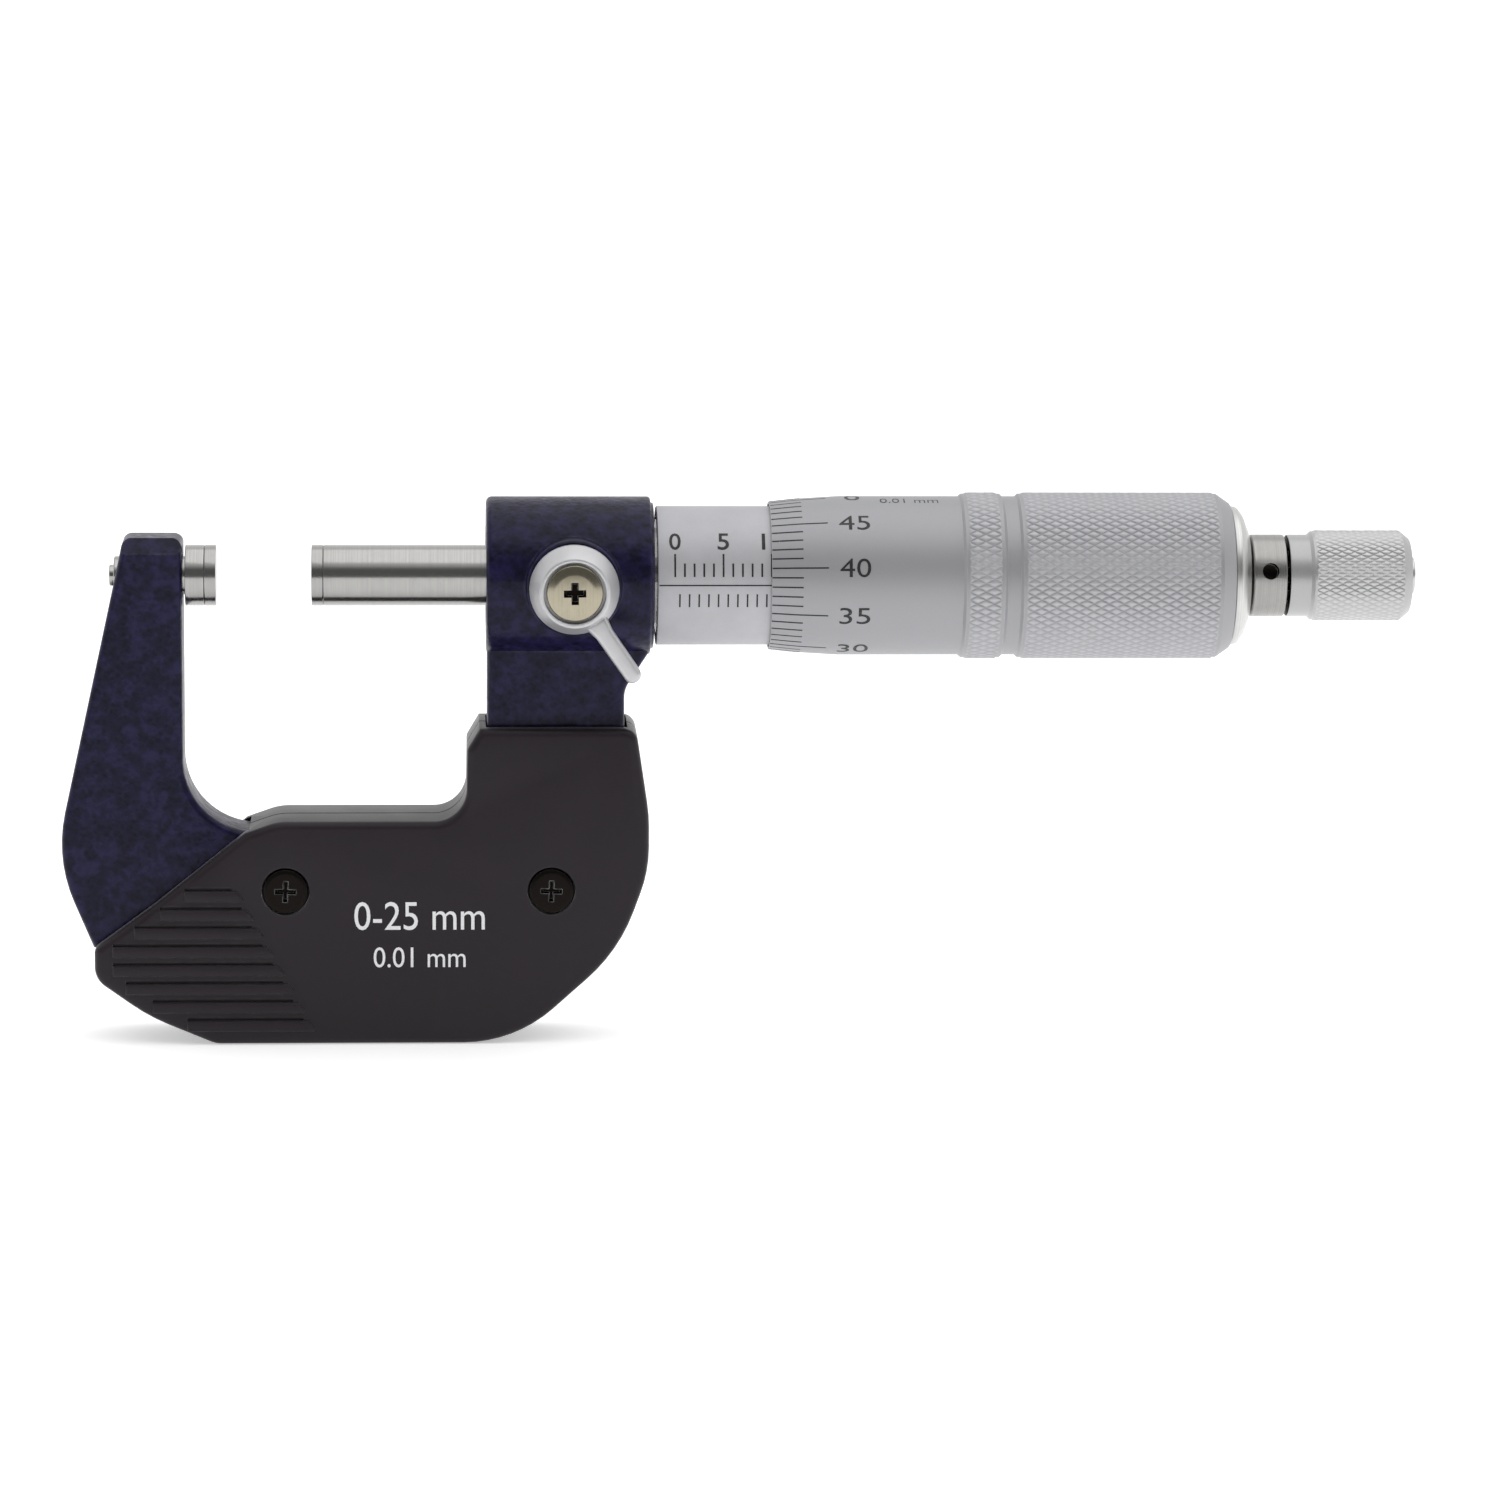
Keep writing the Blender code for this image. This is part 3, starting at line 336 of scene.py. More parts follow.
def draw(name, corners, closed=True, step=ARC_STEP):
    """Draws an outline in the XZ plane by extruding a vertex through (x, z, rounding) corners."""
    bpy.ops.object.select_all(action="DESELECT")
    bpy.ops.mesh.primitive_plane_add(size=MM)
    obj = bpy.context.object
    obj.name = obj.data.name = name
    edit(obj)
    bpy.ops.mesh.merge(type="CENTER")
    here = Vector((0.0, 0.0))
    last = len(corners) - 1
    for index, corner in enumerate(corners):
        plain = corner[2] == 0.0 or (not closed and index in (0, last))
        if plain:
            start, end = Vector(corner[:2]), Vector(corner[:2])
        else:
            start, centre, turn, end = arc_at(corners[index - 1], corner,
                                              corners[(index + 1) % (last + 1)])
        move = start - here
        value = (move.x, 0.0, move.y)
        if index == 0:
            bpy.ops.transform.translate(value=value)
        else:
            bpy.ops.mesh.extrude_region_move(TRANSFORM_OT_translate={"value": value})
        if not plain:
            bpy.ops.mesh.spin(steps=max(2, round(abs(turn) / step)), angle=-turn,
                              center=(centre.x, 0.0, centre.y), axis=(0.0, -1.0, 0.0))
        here = end
    if closed:
        pick("VERT", lambda vert: len(vert.link_edges) == 1)
        bpy.ops.mesh.edge_face_add()
    leave()
    return obj


def plate(name, corners, start, end, step=ARC_STEP):
    """A flat outline filled and extruded between two places along Y."""
    obj = draw(name, corners, True, step)
    edit(obj)
    bpy.ops.mesh.edge_face_add()
    bpy.ops.transform.translate(value=(0.0, start, 0.0))
    bpy.ops.mesh.extrude_region_move(TRANSFORM_OT_translate={"value": (0.0, end - start, 0.0)})
    bpy.ops.mesh.select_all(action="SELECT")
    bpy.ops.mesh.normals_make_consistent(inside=False)
    leave()
    return obj


def round_rims(obj, heights, width, segments=4):
    """Bevels a plate's rims that lie at the given places along Y."""
    edit(obj)
    pick("EDGE", lambda edge: len(edge.link_faces) == 2
         and edge.calc_face_angle(0.0) > math.radians(60.0)
         and any(all(abs(vert.co.y - height) < TOUCH for vert in edge.verts)
                 for height in heights))
    bpy.ops.mesh.bevel(offset=width, segments=segments, profile=0.5, affect="EDGES",
                       clamp_overlap=False)
    leave()


def turned(name, profile, closed=False, sides=SIDES, step=math.radians(22.5)):
    """A piece turned about the X axis from (place, radius, rounding) corners."""
    obj = draw(name, profile, closed, step)
    edit(obj)
    bpy.ops.mesh.spin(steps=sides, angle=math.tau, center=(0.0, 0.0, 0.0),
                      axis=(1.0, 0.0, 0.0))
    leave()
    clean(obj)
    return obj


def face_front(obj, x=0.0, z=0.0):
    """Turns a piece made along +X to point at the front, on an axis through (x, z)."""
    obj.matrix_world = Matrix.Translation((x, 0.0, z)) @ Matrix.Rotation(-math.pi / 2, 4, "Z")
    settle(obj)
    return obj


def bar(name, centre, size, rounding=0.0):
    """A cube primitive sized and rounded along all its edges."""
    bpy.ops.object.select_all(action="DESELECT")
    bpy.ops.mesh.primitive_cube_add(size=1.0, location=centre, scale=size)
    obj = bpy.context.object
    obj.name = obj.data.name = name
    settle(obj)
    if rounding:
        edit(obj)
        bpy.ops.mesh.bevel(offset=rounding, segments=3, affect="EDGES")
        leave()
    return obj


def cross(name, reach, width, start, end):
    """The bit of a cross-head driver, upright, between two places along Y."""
    half = width / 2
    quarter = [(reach, -half), (reach, half), (half, half)]
    corners = []
    for _ in range(4):
        corners += [(x, z, 0.0) for x, z in quarter]
        quarter = [(-z, x) for x, z in quarter]
    obj = plate(name, corners, start, end)
    edit(obj)
    deep = max(start, end)
    pick("VERT", lambda vert: abs(vert.co.y - deep) < TOUCH)
    bpy.ops.transform.resize(value=(0.72, 1.0, 0.72))
    leave()
    return obj


def finish_faces(obj, material, test):
    """Gives the faces that pass a test a finish of their own."""
    if obj.data.materials.find(material.name) < 0:
        obj.data.materials.append(material)
    obj.active_material_index = obj.data.materials.find(material.name)
    edit(obj)
    pick("FACE", test)
    bpy.ops.object.material_slot_assign()
    leave()


def dress(obj, material, body, replaces=()):
    """Gives a finished piece its finish and its body, smooths its shading and hides the CAD nodes
    that it stands for.
    """
    if not obj.data.materials:
        obj.data.materials.append(material)
    alone(obj)
    bpy.ops.object.shade_smooth_by_angle(angle=SMOOTH)
    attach(obj, body)
    if replaces:
        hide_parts(*replaces)
    return obj


def knurl(obj, start, end, rest_r, thickness, depth):
    """Raises diamonds on the rows of a turned piece between two places along X."""
    edit(obj)
    count = len(bmesh.from_edit_mesh(obj.data).verts)

    def in_rows(face):
        centre = face.calc_center_median()
        return (start < centre.x < end and abs(face.normal.x) < 0.2
                and math.hypot(centre.y, centre.z) > rest_r)
    pick("FACE", in_rows)
    bpy.ops.mesh.poke()
    pick("EDGE", lambda edge: all(vert.index < count for vert in edge.verts)
         and len(edge.link_faces) == 2
         and all(any(vert.index >= count for vert in face.verts) for face in edge.link_faces))
    bpy.ops.mesh.dissolve_edges(use_verts=False)
    pick("FACE", lambda face: any(vert.index >= count for vert in face.verts))
    bpy.ops.mesh.inset(thickness=thickness, depth=depth, use_individual=True)
    leave()


def rows(start, end, radius, pitch):
    """Profile corners that divide a straight stretch into equal rows."""
    count = max(1, round((end - start) / pitch))
    return [(start + (end - start) * index / count, radius, 0.0) for index in range(count + 1)]


def text_mesh(name, body, height, thin=0.0):
    """Lettering made a mesh in the XZ plane, its middle at the origin, facing the front."""
    bpy.ops.object.select_all(action="DESELECT")
    bpy.ops.object.text_add(rotation=(math.pi / 2, 0.0, 0.0))
    obj = bpy.context.object
    obj.data.body = body
    obj.data.offset = thin
    obj.data.resolution_u = 4
    bpy.ops.object.convert(target="MESH")
    obj.name = obj.data.name = name
    settle(obj)
    co = [vert.co for vert in obj.data.vertices]
    lowest = Vector(map(min, *co))
    highest = Vector(map(max, *co))
    scale = height / (highest.z - lowest.z)
    edit(obj)
    bpy.ops.transform.translate(value=-(lowest + highest) / 2)
    bpy.ops.transform.resize(value=(scale, scale, scale), center_override=(0.0, 0.0, 0.0))
    leave()
    return obj


def slice_flat(obj):
    """Cuts flat lettering into level strips, so that it can follow a round surface."""
    edit(obj)
    top = max(vert.co.z for vert in bmesh.from_edit_mesh(obj.data).verts)
    count = max(2, math.ceil(2 * top / STRIP_HEIGHT))
    for index in range(1, count):
        bpy.ops.mesh.select_all(action="SELECT")
        bpy.ops.mesh.bisect(plane_co=(0.0, 0.0, -top + 2 * top * index / count),
                            plane_no=(0.0, 0.0, 1.0))
    leave()


def strip(name, width, height, cuts_x=1, cuts_z=1):
    """A flat mark in the XZ plane, its middle at the origin."""
    bpy.ops.object.select_all(action="DESELECT")
    bpy.ops.mesh.primitive_grid_add(x_subdivisions=cuts_x, y_subdivisions=cuts_z, size=1.0,
                                    rotation=(math.pi / 2, 0.0, 0.0))
    obj = bpy.context.object
    obj.name = obj.data.name = name
    settle(obj)
    edit(obj)
    bpy.ops.transform.resize(value=(width, 1.0, height))
    leave()
    return obj


def lay_on(obj, target, x, angle, raised):
    """Projects a flat mark on a turned piece's front at x, then rolls it round by angle."""
    edit(obj)
    bpy.ops.transform.translate(value=(x, -MARK_START, 0.0))
    leave()
    apply_modifier(obj, "SHRINKWRAP", target=target, wrap_method="PROJECT",
                   use_project_x=False, use_project_y=True, use_project_z=False,
                   use_positive_direction=True, use_negative_direction=False,
                   offset=raised, wrap_mode="ABOVE_SURFACE")
    apply_modifier(obj, "SOLIDIFY", thickness=1.5 * raised, offset=0.0)
    obj.matrix_world = Matrix.Rotation(-angle, 4, "X")
    settle(obj)
    return obj


def copies(obj, count, axis_step=None, turn_step=None):
    """Repeats a mark along X or round the X axis, and lists it and its copies for join()."""
    made = [obj]
    for index in range(1, count):
        other = obj.copy()
        other.data = obj.data.copy()
        bpy.context.scene.collection.objects.link(other)
        if axis_step:
            other.matrix_world = Matrix.Translation((axis_step * index, 0.0, 0.0))
        else:
            other.matrix_world = Matrix.Rotation(-turn_step * index, 4, "X")
        settle(other)
        made.append(other)
    return made


def join(name, pieces):
    """Makes several meshes one piece."""
    bpy.ops.object.select_all(action="DESELECT")
    for piece in pieces:
        piece.select_set(True)
    bpy.context.view_layer.objects.active = pieces[0]
    if len(pieces) > 1:
        bpy.ops.object.join()
    pieces[0].name = pieces[0].data.name = name
    return pieces[0]


# --- shader node groups -----------------------------------------------------------------
def add(tree, kind, inputs=None, **values):
    """A node with its settings, and its inputs set to values or linked to sockets."""
    node = tree.nodes.new(kind)
    for key, value in values.items():
        setattr(node, key, value)
    for key, value in (inputs or {}).items():
        if isinstance(value, bpy.types.NodeSocket):
            tree.links.new(value, node.inputs[key])
        else:
            node.inputs[key].default_value = value
    return node


def math_node(tree, operation, first, second=0.0, clamp=False):
    return add(tree, "ShaderNodeMath", {0: first, 1: second}, operation=operation,
               use_clamp=clamp).outputs[0]


def ramp(tree, value, first, last, to_first=0.0, to_last=1.0):
    return add(tree, "ShaderNodeMapRange", {"Value": value, "From Min": first, "From Max": last,
                                            "To Min": to_first, "To Max": to_last},
               clamp=True).outputs["Result"]


def noise(tree, vector, scale, detail=3.0, roughness=0.5):
    return add(tree, "ShaderNodeTexNoise", {"Vector": vector, "Scale": scale, "Detail": detail,
                                            "Roughness": roughness}).outputs["Fac"]


def new_group(name, inputs, outputs):
    """An empty node group with named float inputs and outputs, and Object coordinates."""
    tree = bpy.data.node_groups.new(name, "ShaderNodeTree")
    for label, default in inputs:
        socket = tree.interface.new_socket(label, in_out="INPUT", socket_type="NodeSocketFloat")
        socket.default_value = default
    for label in outputs:
        tree.interface.new_socket(label, in_out="OUTPUT", socket_type="NodeSocketFloat")
    given = tree.nodes.new("NodeGroupInput").outputs
    result = tree.nodes.new("NodeGroupOutput").inputs
    place = tree.nodes.new("ShaderNodeTexCoord").outputs["Object"]
    return tree, given, result, place


def hammer_group():
    """Dimples and pooled pigment of hammertone paint."""
    tree, given, result, place = new_group(
        "Hammertone", [("Pitch", 0.0005), ("Spread", 0.5)], ["Crest", "Height"])
    scale = math_node(tree, "DIVIDE", 1.0, given["Pitch"])
    warp = add(tree, "ShaderNodeTexNoise", {"Vector": place, "Scale": scale, "Detail": 2.0})
    shifted = add(tree, "ShaderNodeVectorMath", {0: warp.outputs["Color"], 1: (0.0006,) * 3},
                  operation="MULTIPLY").outputs[0]
    moved = add(tree, "ShaderNodeVectorMath", {0: place, 1: shifted}, operation="ADD").outputs[0]
    cells = add(tree, "ShaderNodeTexVoronoi", {"Vector": moved, "Scale": scale,
                                               "Smoothness": 0.6},
                feature="SMOOTH_F1").outputs["Distance"]
    dimple = ramp(tree, cells, 0.1, 0.75)
    patches = noise(tree, place, math_node(tree, "MULTIPLY", scale, 0.45), 3.0, 0.6)
    both = math_node(tree, "ADD", math_node(tree, "MULTIPLY", dimple, given["Spread"]),
                     ramp(tree, patches, 0.42, 0.62))
    tree.links.new(math_node(tree, "MULTIPLY", both, 0.66, True), result["Crest"])
    tree.links.new(dimple, result["Height"])
    return tree


def about_x(tree, place):
    """A point's place along the X axis and its distance from it."""
    parts = add(tree, "ShaderNodeSeparateXYZ", {0: place}).outputs
    flat = add(tree, "ShaderNodeCombineXYZ", {"Y": parts["Y"], "Z": parts["Z"]}).outputs[0]
    radius = add(tree, "ShaderNodeVectorMath", {0: flat}, operation="LENGTH").outputs["Value"]
    return parts["X"], radius


def turning_group():
    """Fine rings left by turning or grinding about the X axis, with faint breaks."""
    tree, given, result, place = new_group(
        "Turning Lines", [("Pitch", 0.0001), ("Breaks", 0.3)], ["Rings", "Height"])
    along, radius = about_x(tree, place)
    scale = math_node(tree, "DIVIDE", 1.0, given["Pitch"])
    ring = add(tree, "ShaderNodeCombineXYZ", {
        "X": math_node(tree, "MULTIPLY", along, scale),
        "Y": math_node(tree, "MULTIPLY", radius, scale)}).outputs[0]
    lines = noise(tree, ring, 1.0, 4.0, 0.65)
    broken = noise(tree, place, 900.0, 2.0, 0.5)
    mixed = math_node(tree, "ADD", lines,
                      math_node(tree, "MULTIPLY", math_node(tree, "SUBTRACT", broken, 0.5),
                                given["Breaks"]))
    tree.links.new(ramp(tree, mixed, 0.3, 0.7), result["Rings"])
    tree.links.new(lines, result["Height"])
    return tree


def grain_group():
    """Fine grain of a blasted, moulded or plated surface, with broad uneven patches."""
    tree, given, result, place = new_group(
        "Fine Grain", [("Pitch", 0.0001), ("Patch Size", 0.004)], ["Grain", "Patches"])
    fine = noise(tree, place, math_node(tree, "DIVIDE", 1.0, given["Pitch"]), 3.0, 0.6)
    broad = noise(tree, place, math_node(tree, "DIVIDE", 1.0, given["Patch Size"]), 4.0, 0.55)
    tree.links.new(fine, result["Grain"])
    tree.links.new(ramp(tree, broad, 0.3, 0.7), result["Patches"])
    return tree


def wear_group():
    """Where an outer edge is lighter, partly as rubbed wear and partly as a painted highlight,
    broken up by handling.
    """
    tree, given, result, place = new_group(
        "Edge Wear And Highlight", [("Width", 0.0004), ("Amount", 0.5)], ["Edge"])
    normal = add(tree, "ShaderNodeNewGeometry").outputs["Normal"]
    soft = add(tree, "ShaderNodeBevel", {"Radius": given["Width"]}, samples=6).outputs[0]
    dot = add(tree, "ShaderNodeVectorMath", {0: normal, 1: soft},
              operation="DOT_PRODUCT").outputs["Value"]
    edge = ramp(tree, dot, 0.992, 0.90)
    patchy = ramp(tree, noise(tree, place, 700.0, 4.0, 0.65), 0.35, 0.65)
    tree.links.new(math_node(tree, "MULTIPLY", math_node(tree, "MULTIPLY", edge, patchy),
                             given["Amount"], True), result["Edge"])
    return tree


def groove_group():
    """How deep a point lies between two radii about the X axis, such as in a knurl."""
    tree, given, result, place = new_group(
        "Groove Depth", [("Crest Radius", 0.0087), ("Root Radius", 0.0085)], ["Depth"])
    radius = about_x(tree, place)[1]
    tree.links.new(ramp(tree, radius, given["Crest Radius"], given["Root Radius"]),
                   result["Depth"])
    return tree


GROUPS = {}


def group(tree, name, **inputs):
    """A node that uses one of the shared groups."""
    node = tree.nodes.new("ShaderNodeGroup")
    node.node_tree = GROUPS[name]
    for key, value in inputs.items():
        node.inputs[key.replace("_", " ").title()].default_value = value
    return node.outputs


def mix(tree, factor, first, second):
    """Mixes two colours, or a socket and a colour."""
    node = tree.nodes.new("ShaderNodeMix")
    node.data_type = "RGBA"
    for socket, value in ((node.inputs[0], factor), (node.inputs[6], first),
                          (node.inputs[7], second)):
        if isinstance(value, bpy.types.NodeSocket):
            tree.links.new(value, socket)
        elif isinstance(value, float):
            socket.default_value = value
        else:
            socket.default_value = (*value, 1.0)
    return node.outputs[2]


def new_material(name, color, roughness, metallic, coat=0.0):
    material = bpy.data.materials.new(name)
    material.use_nodes = True
    material.diffuse_color = (*color, 1.0)
    tree = material.node_tree
    shader = tree.nodes["Principled BSDF"]
    shader.inputs["Base Color"].default_value = (*color, 1.0)
    shader.inputs["Roughness"].default_value = roughness
    shader.inputs["Metallic"].default_value = metallic
    shader.inputs["Coat Weight"].default_value = coat
    shader.inputs["Coat Roughness"].default_value = 0.12
    return material, tree, shader


def bump(tree, shader, height, distance, strength=1.0):
    node = add(tree, "ShaderNodeBump", {"Height": height, "Distance": distance,
                                        "Strength": strength})
    tree.links.new(node.outputs[0], shader.inputs["Normal"])


def darker(color, share):
    return tuple(channel * share for channel in color)


def paint_material(settings):
    material, tree, shader = new_material("navy_hammertone", settings.paint, 0.36, 0.0, 0.1)
    shader.inputs["Specular IOR Level"].default_value = 0.12
    hammer = group(tree, "Hammertone", pitch=settings.hammer, spread=0.55)
    wear_and_highlight = group(tree, "Edge Wear And Highlight", width=0.5 * MM, amount=0.65)
    body = mix(tree, hammer["Crest"], tuple(settings.paint), tuple(settings.paint_light))
    # Lighter edges: partly wear, partly a painted highlight.
    tree.links.new(mix(tree, wear_and_highlight["Edge"], body, (0.07, 0.07, 0.11)),
                   shader.inputs["Base Color"])
    tree.links.new(ramp(tree, hammer["Crest"], 0.0, 1.0, 0.42, 0.30), shader.inputs["Roughness"])
    bump(tree, shader, hammer["Height"], 0.05 * MM, 0.6)
    return material


def plastic_material(settings):
    material, tree, shader = new_material("charcoal_plastic", settings.plastic, 0.42, 0.0)
    shader.inputs["Specular IOR Level"].default_value = 0.22
    shader.inputs["Sheen Weight"].default_value = 0.35
    shader.inputs["Sheen Roughness"].default_value = 0.3
    grain = group(tree, "Fine Grain", pitch=0.09 * MM, patch_size=5.0 * MM)
    wear_and_highlight = group(tree, "Edge Wear And Highlight", width=0.35 * MM, amount=0.35)
    body = mix(tree, grain["Patches"], darker(settings.plastic, 0.86), tuple(settings.plastic))
    # Lighter edges: partly wear, partly a painted highlight.
    tree.links.new(mix(tree, wear_and_highlight["Edge"], body, (0.07, 0.065, 0.072)),
                   shader.inputs["Base Color"])
    tree.links.new(ramp(tree, grain["Patches"], 0.0, 1.0, 0.38, 0.46),
                   shader.inputs["Roughness"])
    bump(tree, shader, grain["Grain"], 0.012 * MM, 0.5)
    return material


def steel_material(name, color, roughness, pitch, strength):
    material, tree, shader = new_material(name, color, roughness, 1.0)
    lines = group(tree, "Turning Lines", pitch=pitch, breaks=0.25)
    tree.links.new(mix(tree, lines["Rings"], darker(color, 0.84), color),
                   shader.inputs["Base Color"])
    tree.links.new(ramp(tree, lines["Rings"], 0.0, 1.0, 1.25 * roughness, 0.8 * roughness),
                   shader.inputs["Roughness"])
    bump(tree, shader, lines["Height"], 0.004 * MM, strength)
    return material


def chrome_material(name, color, roughness, knurled=None, metallic=0.5):
    """Satin chrome. A knurl also gets its roots darkened as painted shade with grime, and its
    crests, like every edge, lightened partly as rubbed wear and partly as a painted highlight.
    """
    material, tree, shader = new_material(name, color, roughness, metallic)
    grain = group(tree, "Fine Grain", pitch=0.12 * MM, patch_size=3.0 * MM)
    body = mix(tree, grain["Patches"], darker(color, 0.92), tuple(color))
    if knurled:
        # Painted shade with grime: the knurl's roots get darker the deeper they lie.
        root = group(tree, "Groove Depth", crest_radius=knurled[0], root_radius=knurled[1])
        body = mix(tree, root["Depth"], body, darker(color, 0.72))
    wear_and_highlight = group(tree, "Edge Wear And Highlight", width=0.15 * MM, amount=0.5)
    # Lighter edges: partly wear, partly a painted highlight.
    tree.links.new(mix(tree, wear_and_highlight["Edge"], body, (0.62, 0.62, 0.62)),
                   shader.inputs["Base Color"])
    tree.links.new(ramp(tree, grain["Grain"], 0.3, 0.7, 0.9 * roughness, 1.15 * roughness),
                   shader.inputs["Roughness"])
    bump(tree, shader, grain["Grain"], 0.006 * MM, 0.5)
    return material


def ink_material(name, color, under):
    """Paint pressed into an engraved mark, or printed on plastic, with small losses."""
    material, tree, shader = new_material(name, color, 0.5, 0.0)
    grain = group(tree, "Fine Grain", pitch=0.12 * MM, patch_size=0.5 * MM)
    lost = ramp(tree, grain["Grain"], 0.66, 0.72)
    tree.links.new(mix(tree, lost, tuple(color), under), shader.inputs["Base Color"])
    tree.links.new(ramp(tree, grain["Patches"], 0.0, 1.0, 0.42, 0.6), shader.inputs["Roughness"])
    return material


MATERIALS = {}


def build_materials(scene):
    GROUPS.update({
        "Hammertone": hammer_group(), "Turning Lines": turning_group(),
        "Fine Grain": grain_group(), "Edge Wear And Highlight": wear_group(),
        "Groove Depth": groove_group()})
    chrome = tuple(scene.mic_grip.chrome)
    depth = scene.mic_grip.depth
    MATERIALS.update({
        "paint": paint_material(scene.mic_frame),
        "plastic": plastic_material(scene.mic_shield),
        "steel": steel_material("ground_steel", (0.385, 0.38, 0.37), 0.18, 0.07 * MM, 0.5),
        "carbide": steel_material("carbide", (0.36, 0.355, 0.35), 0.19, 0.05 * MM, 0.3),
        "chrome": chrome_material("satin_chrome", chrome, 0.60),
        "sleeve": chrome_material("sleeve_chrome", darker(chrome, 0.9), 0.58),
        "lever": chrome_material("lever_chrome", (0.56, 0.56, 0.57), 0.42, metallic=0.7),
        "knurl": chrome_material("knurled_chrome", darker(chrome, 0.89), 0.5,
                                 (KNURL_R, KNURL_R - depth)),
        "knob_knurl": chrome_material("knob_knurl", (0.58, 0.58, 0.58), 0.30,
                                      (KNOB_R, KNOB_R - depth)),
        "polished": steel_material("polished_chrome", (0.60, 0.60, 0.59), 0.26, 0.12 * MM, 0.2),
        "cap": steel_material("cap_chrome", (0.60, 0.60, 0.59), 0.34, 0.12 * MM, 0.1),
        "disc": steel_material("ratchet_steel", (0.34, 0.335, 0.325), 0.30, 0.12 * MM, 0.15),
        "black": chrome_material("black_oxide", (0.013, 0.011, 0.010), 0.42, metallic=1.0),
        "nickel": steel_material("nickel", (0.39, 0.355, 0.27), 0.20, 0.10 * MM, 0.3),
        "brass": steel_material("brass", (0.66, 0.47, 0.20), 0.25, 0.10 * MM, 0.4),
        "recess": chrome_material("recess_shadow", (0.010, 0.008, 0.007), 0.5, metallic=1.0),
        "ink": ink_material("mark_ink", scene.mic_scale.ink, (0.30, 0.30, 0.30)),
        "print": ink_material("white_print", scene.mic_shield.print_white,
                              (0.06, 0.055, 0.06)),
    })


# --- frame ------------------------------------------------------------------------------
def frame_corners(spare=0.0):
    """The casting's outline from the anvil's arm round to the throat, moved out by spare."""
    outer = ARM_INNER_X - ARM_WIDTH
    floor = -THROAT_DEPTH
    bottom = -FRAME_DEPTH
    side = LUG_X + RIGHT_WIDTH
    web = LUG_X + WEB_WIDTH
    ledge = outer - LEDGE_OFFSET
    inside = STEM_R + 1.0 * MM
    return [
        (ARM_INNER_X + spare, ARM_TOP_Z, 1.0 * MM),
        (outer - spare, ARM_TOP_Z, 1.0 * MM),
        (outer - 1.2 * MM - spare, -1.4 * MM, 9.0 * MM),
        (outer - BACK_BULGE - spare, floor - 2.9 * MM, 19.0 * MM),
        (ledge - spare, -LEDGE_DEPTH - spare, 0.0),
        (ledge + LEDGE_WIDTH - spare, -LEDGE_DEPTH - spare, 0.0),
        (ledge + LEDGE_WIDTH - spare, bottom + 6.0 * MM - spare, 3.0 * MM),
        (ledge + 7.7 * MM - spare, bottom + 1.7 * MM - spare, 14.0 * MM),
        (ledge + 14.0 * MM, bottom - spare, 4.0 * MM),
        (side - 13.0 * MM, bottom - spare, 12.5 * MM),
        (side - 2.8 * MM + spare, bottom + 9.2 * MM - spare, 16.0 * MM),
        (side + spare, bottom + 17.0 * MM, 12.0 * MM),
        (side + spare, bottom + 22.7 * MM, 18.0 * MM),
        (web + spare, -SHIELD_TOP, 20.0 * MM),
        (web + spare, -11.6 * MM, 3.0 * MM),
        (LUG_END_X - 0.1 * MM, -0.92 * LUG_R, 1.0 * MM),
        (LUG_END_X - 0.1 * MM, -inside, 0.0),
        (LUG_X + 0.1 * MM, -inside, 0.0),
        (LUG_X + 0.1 * MM - spare, floor + spare, 5.0 * MM),
        (ARM_INNER_X + spare, floor + spare, 7.6 * MM),
    ]


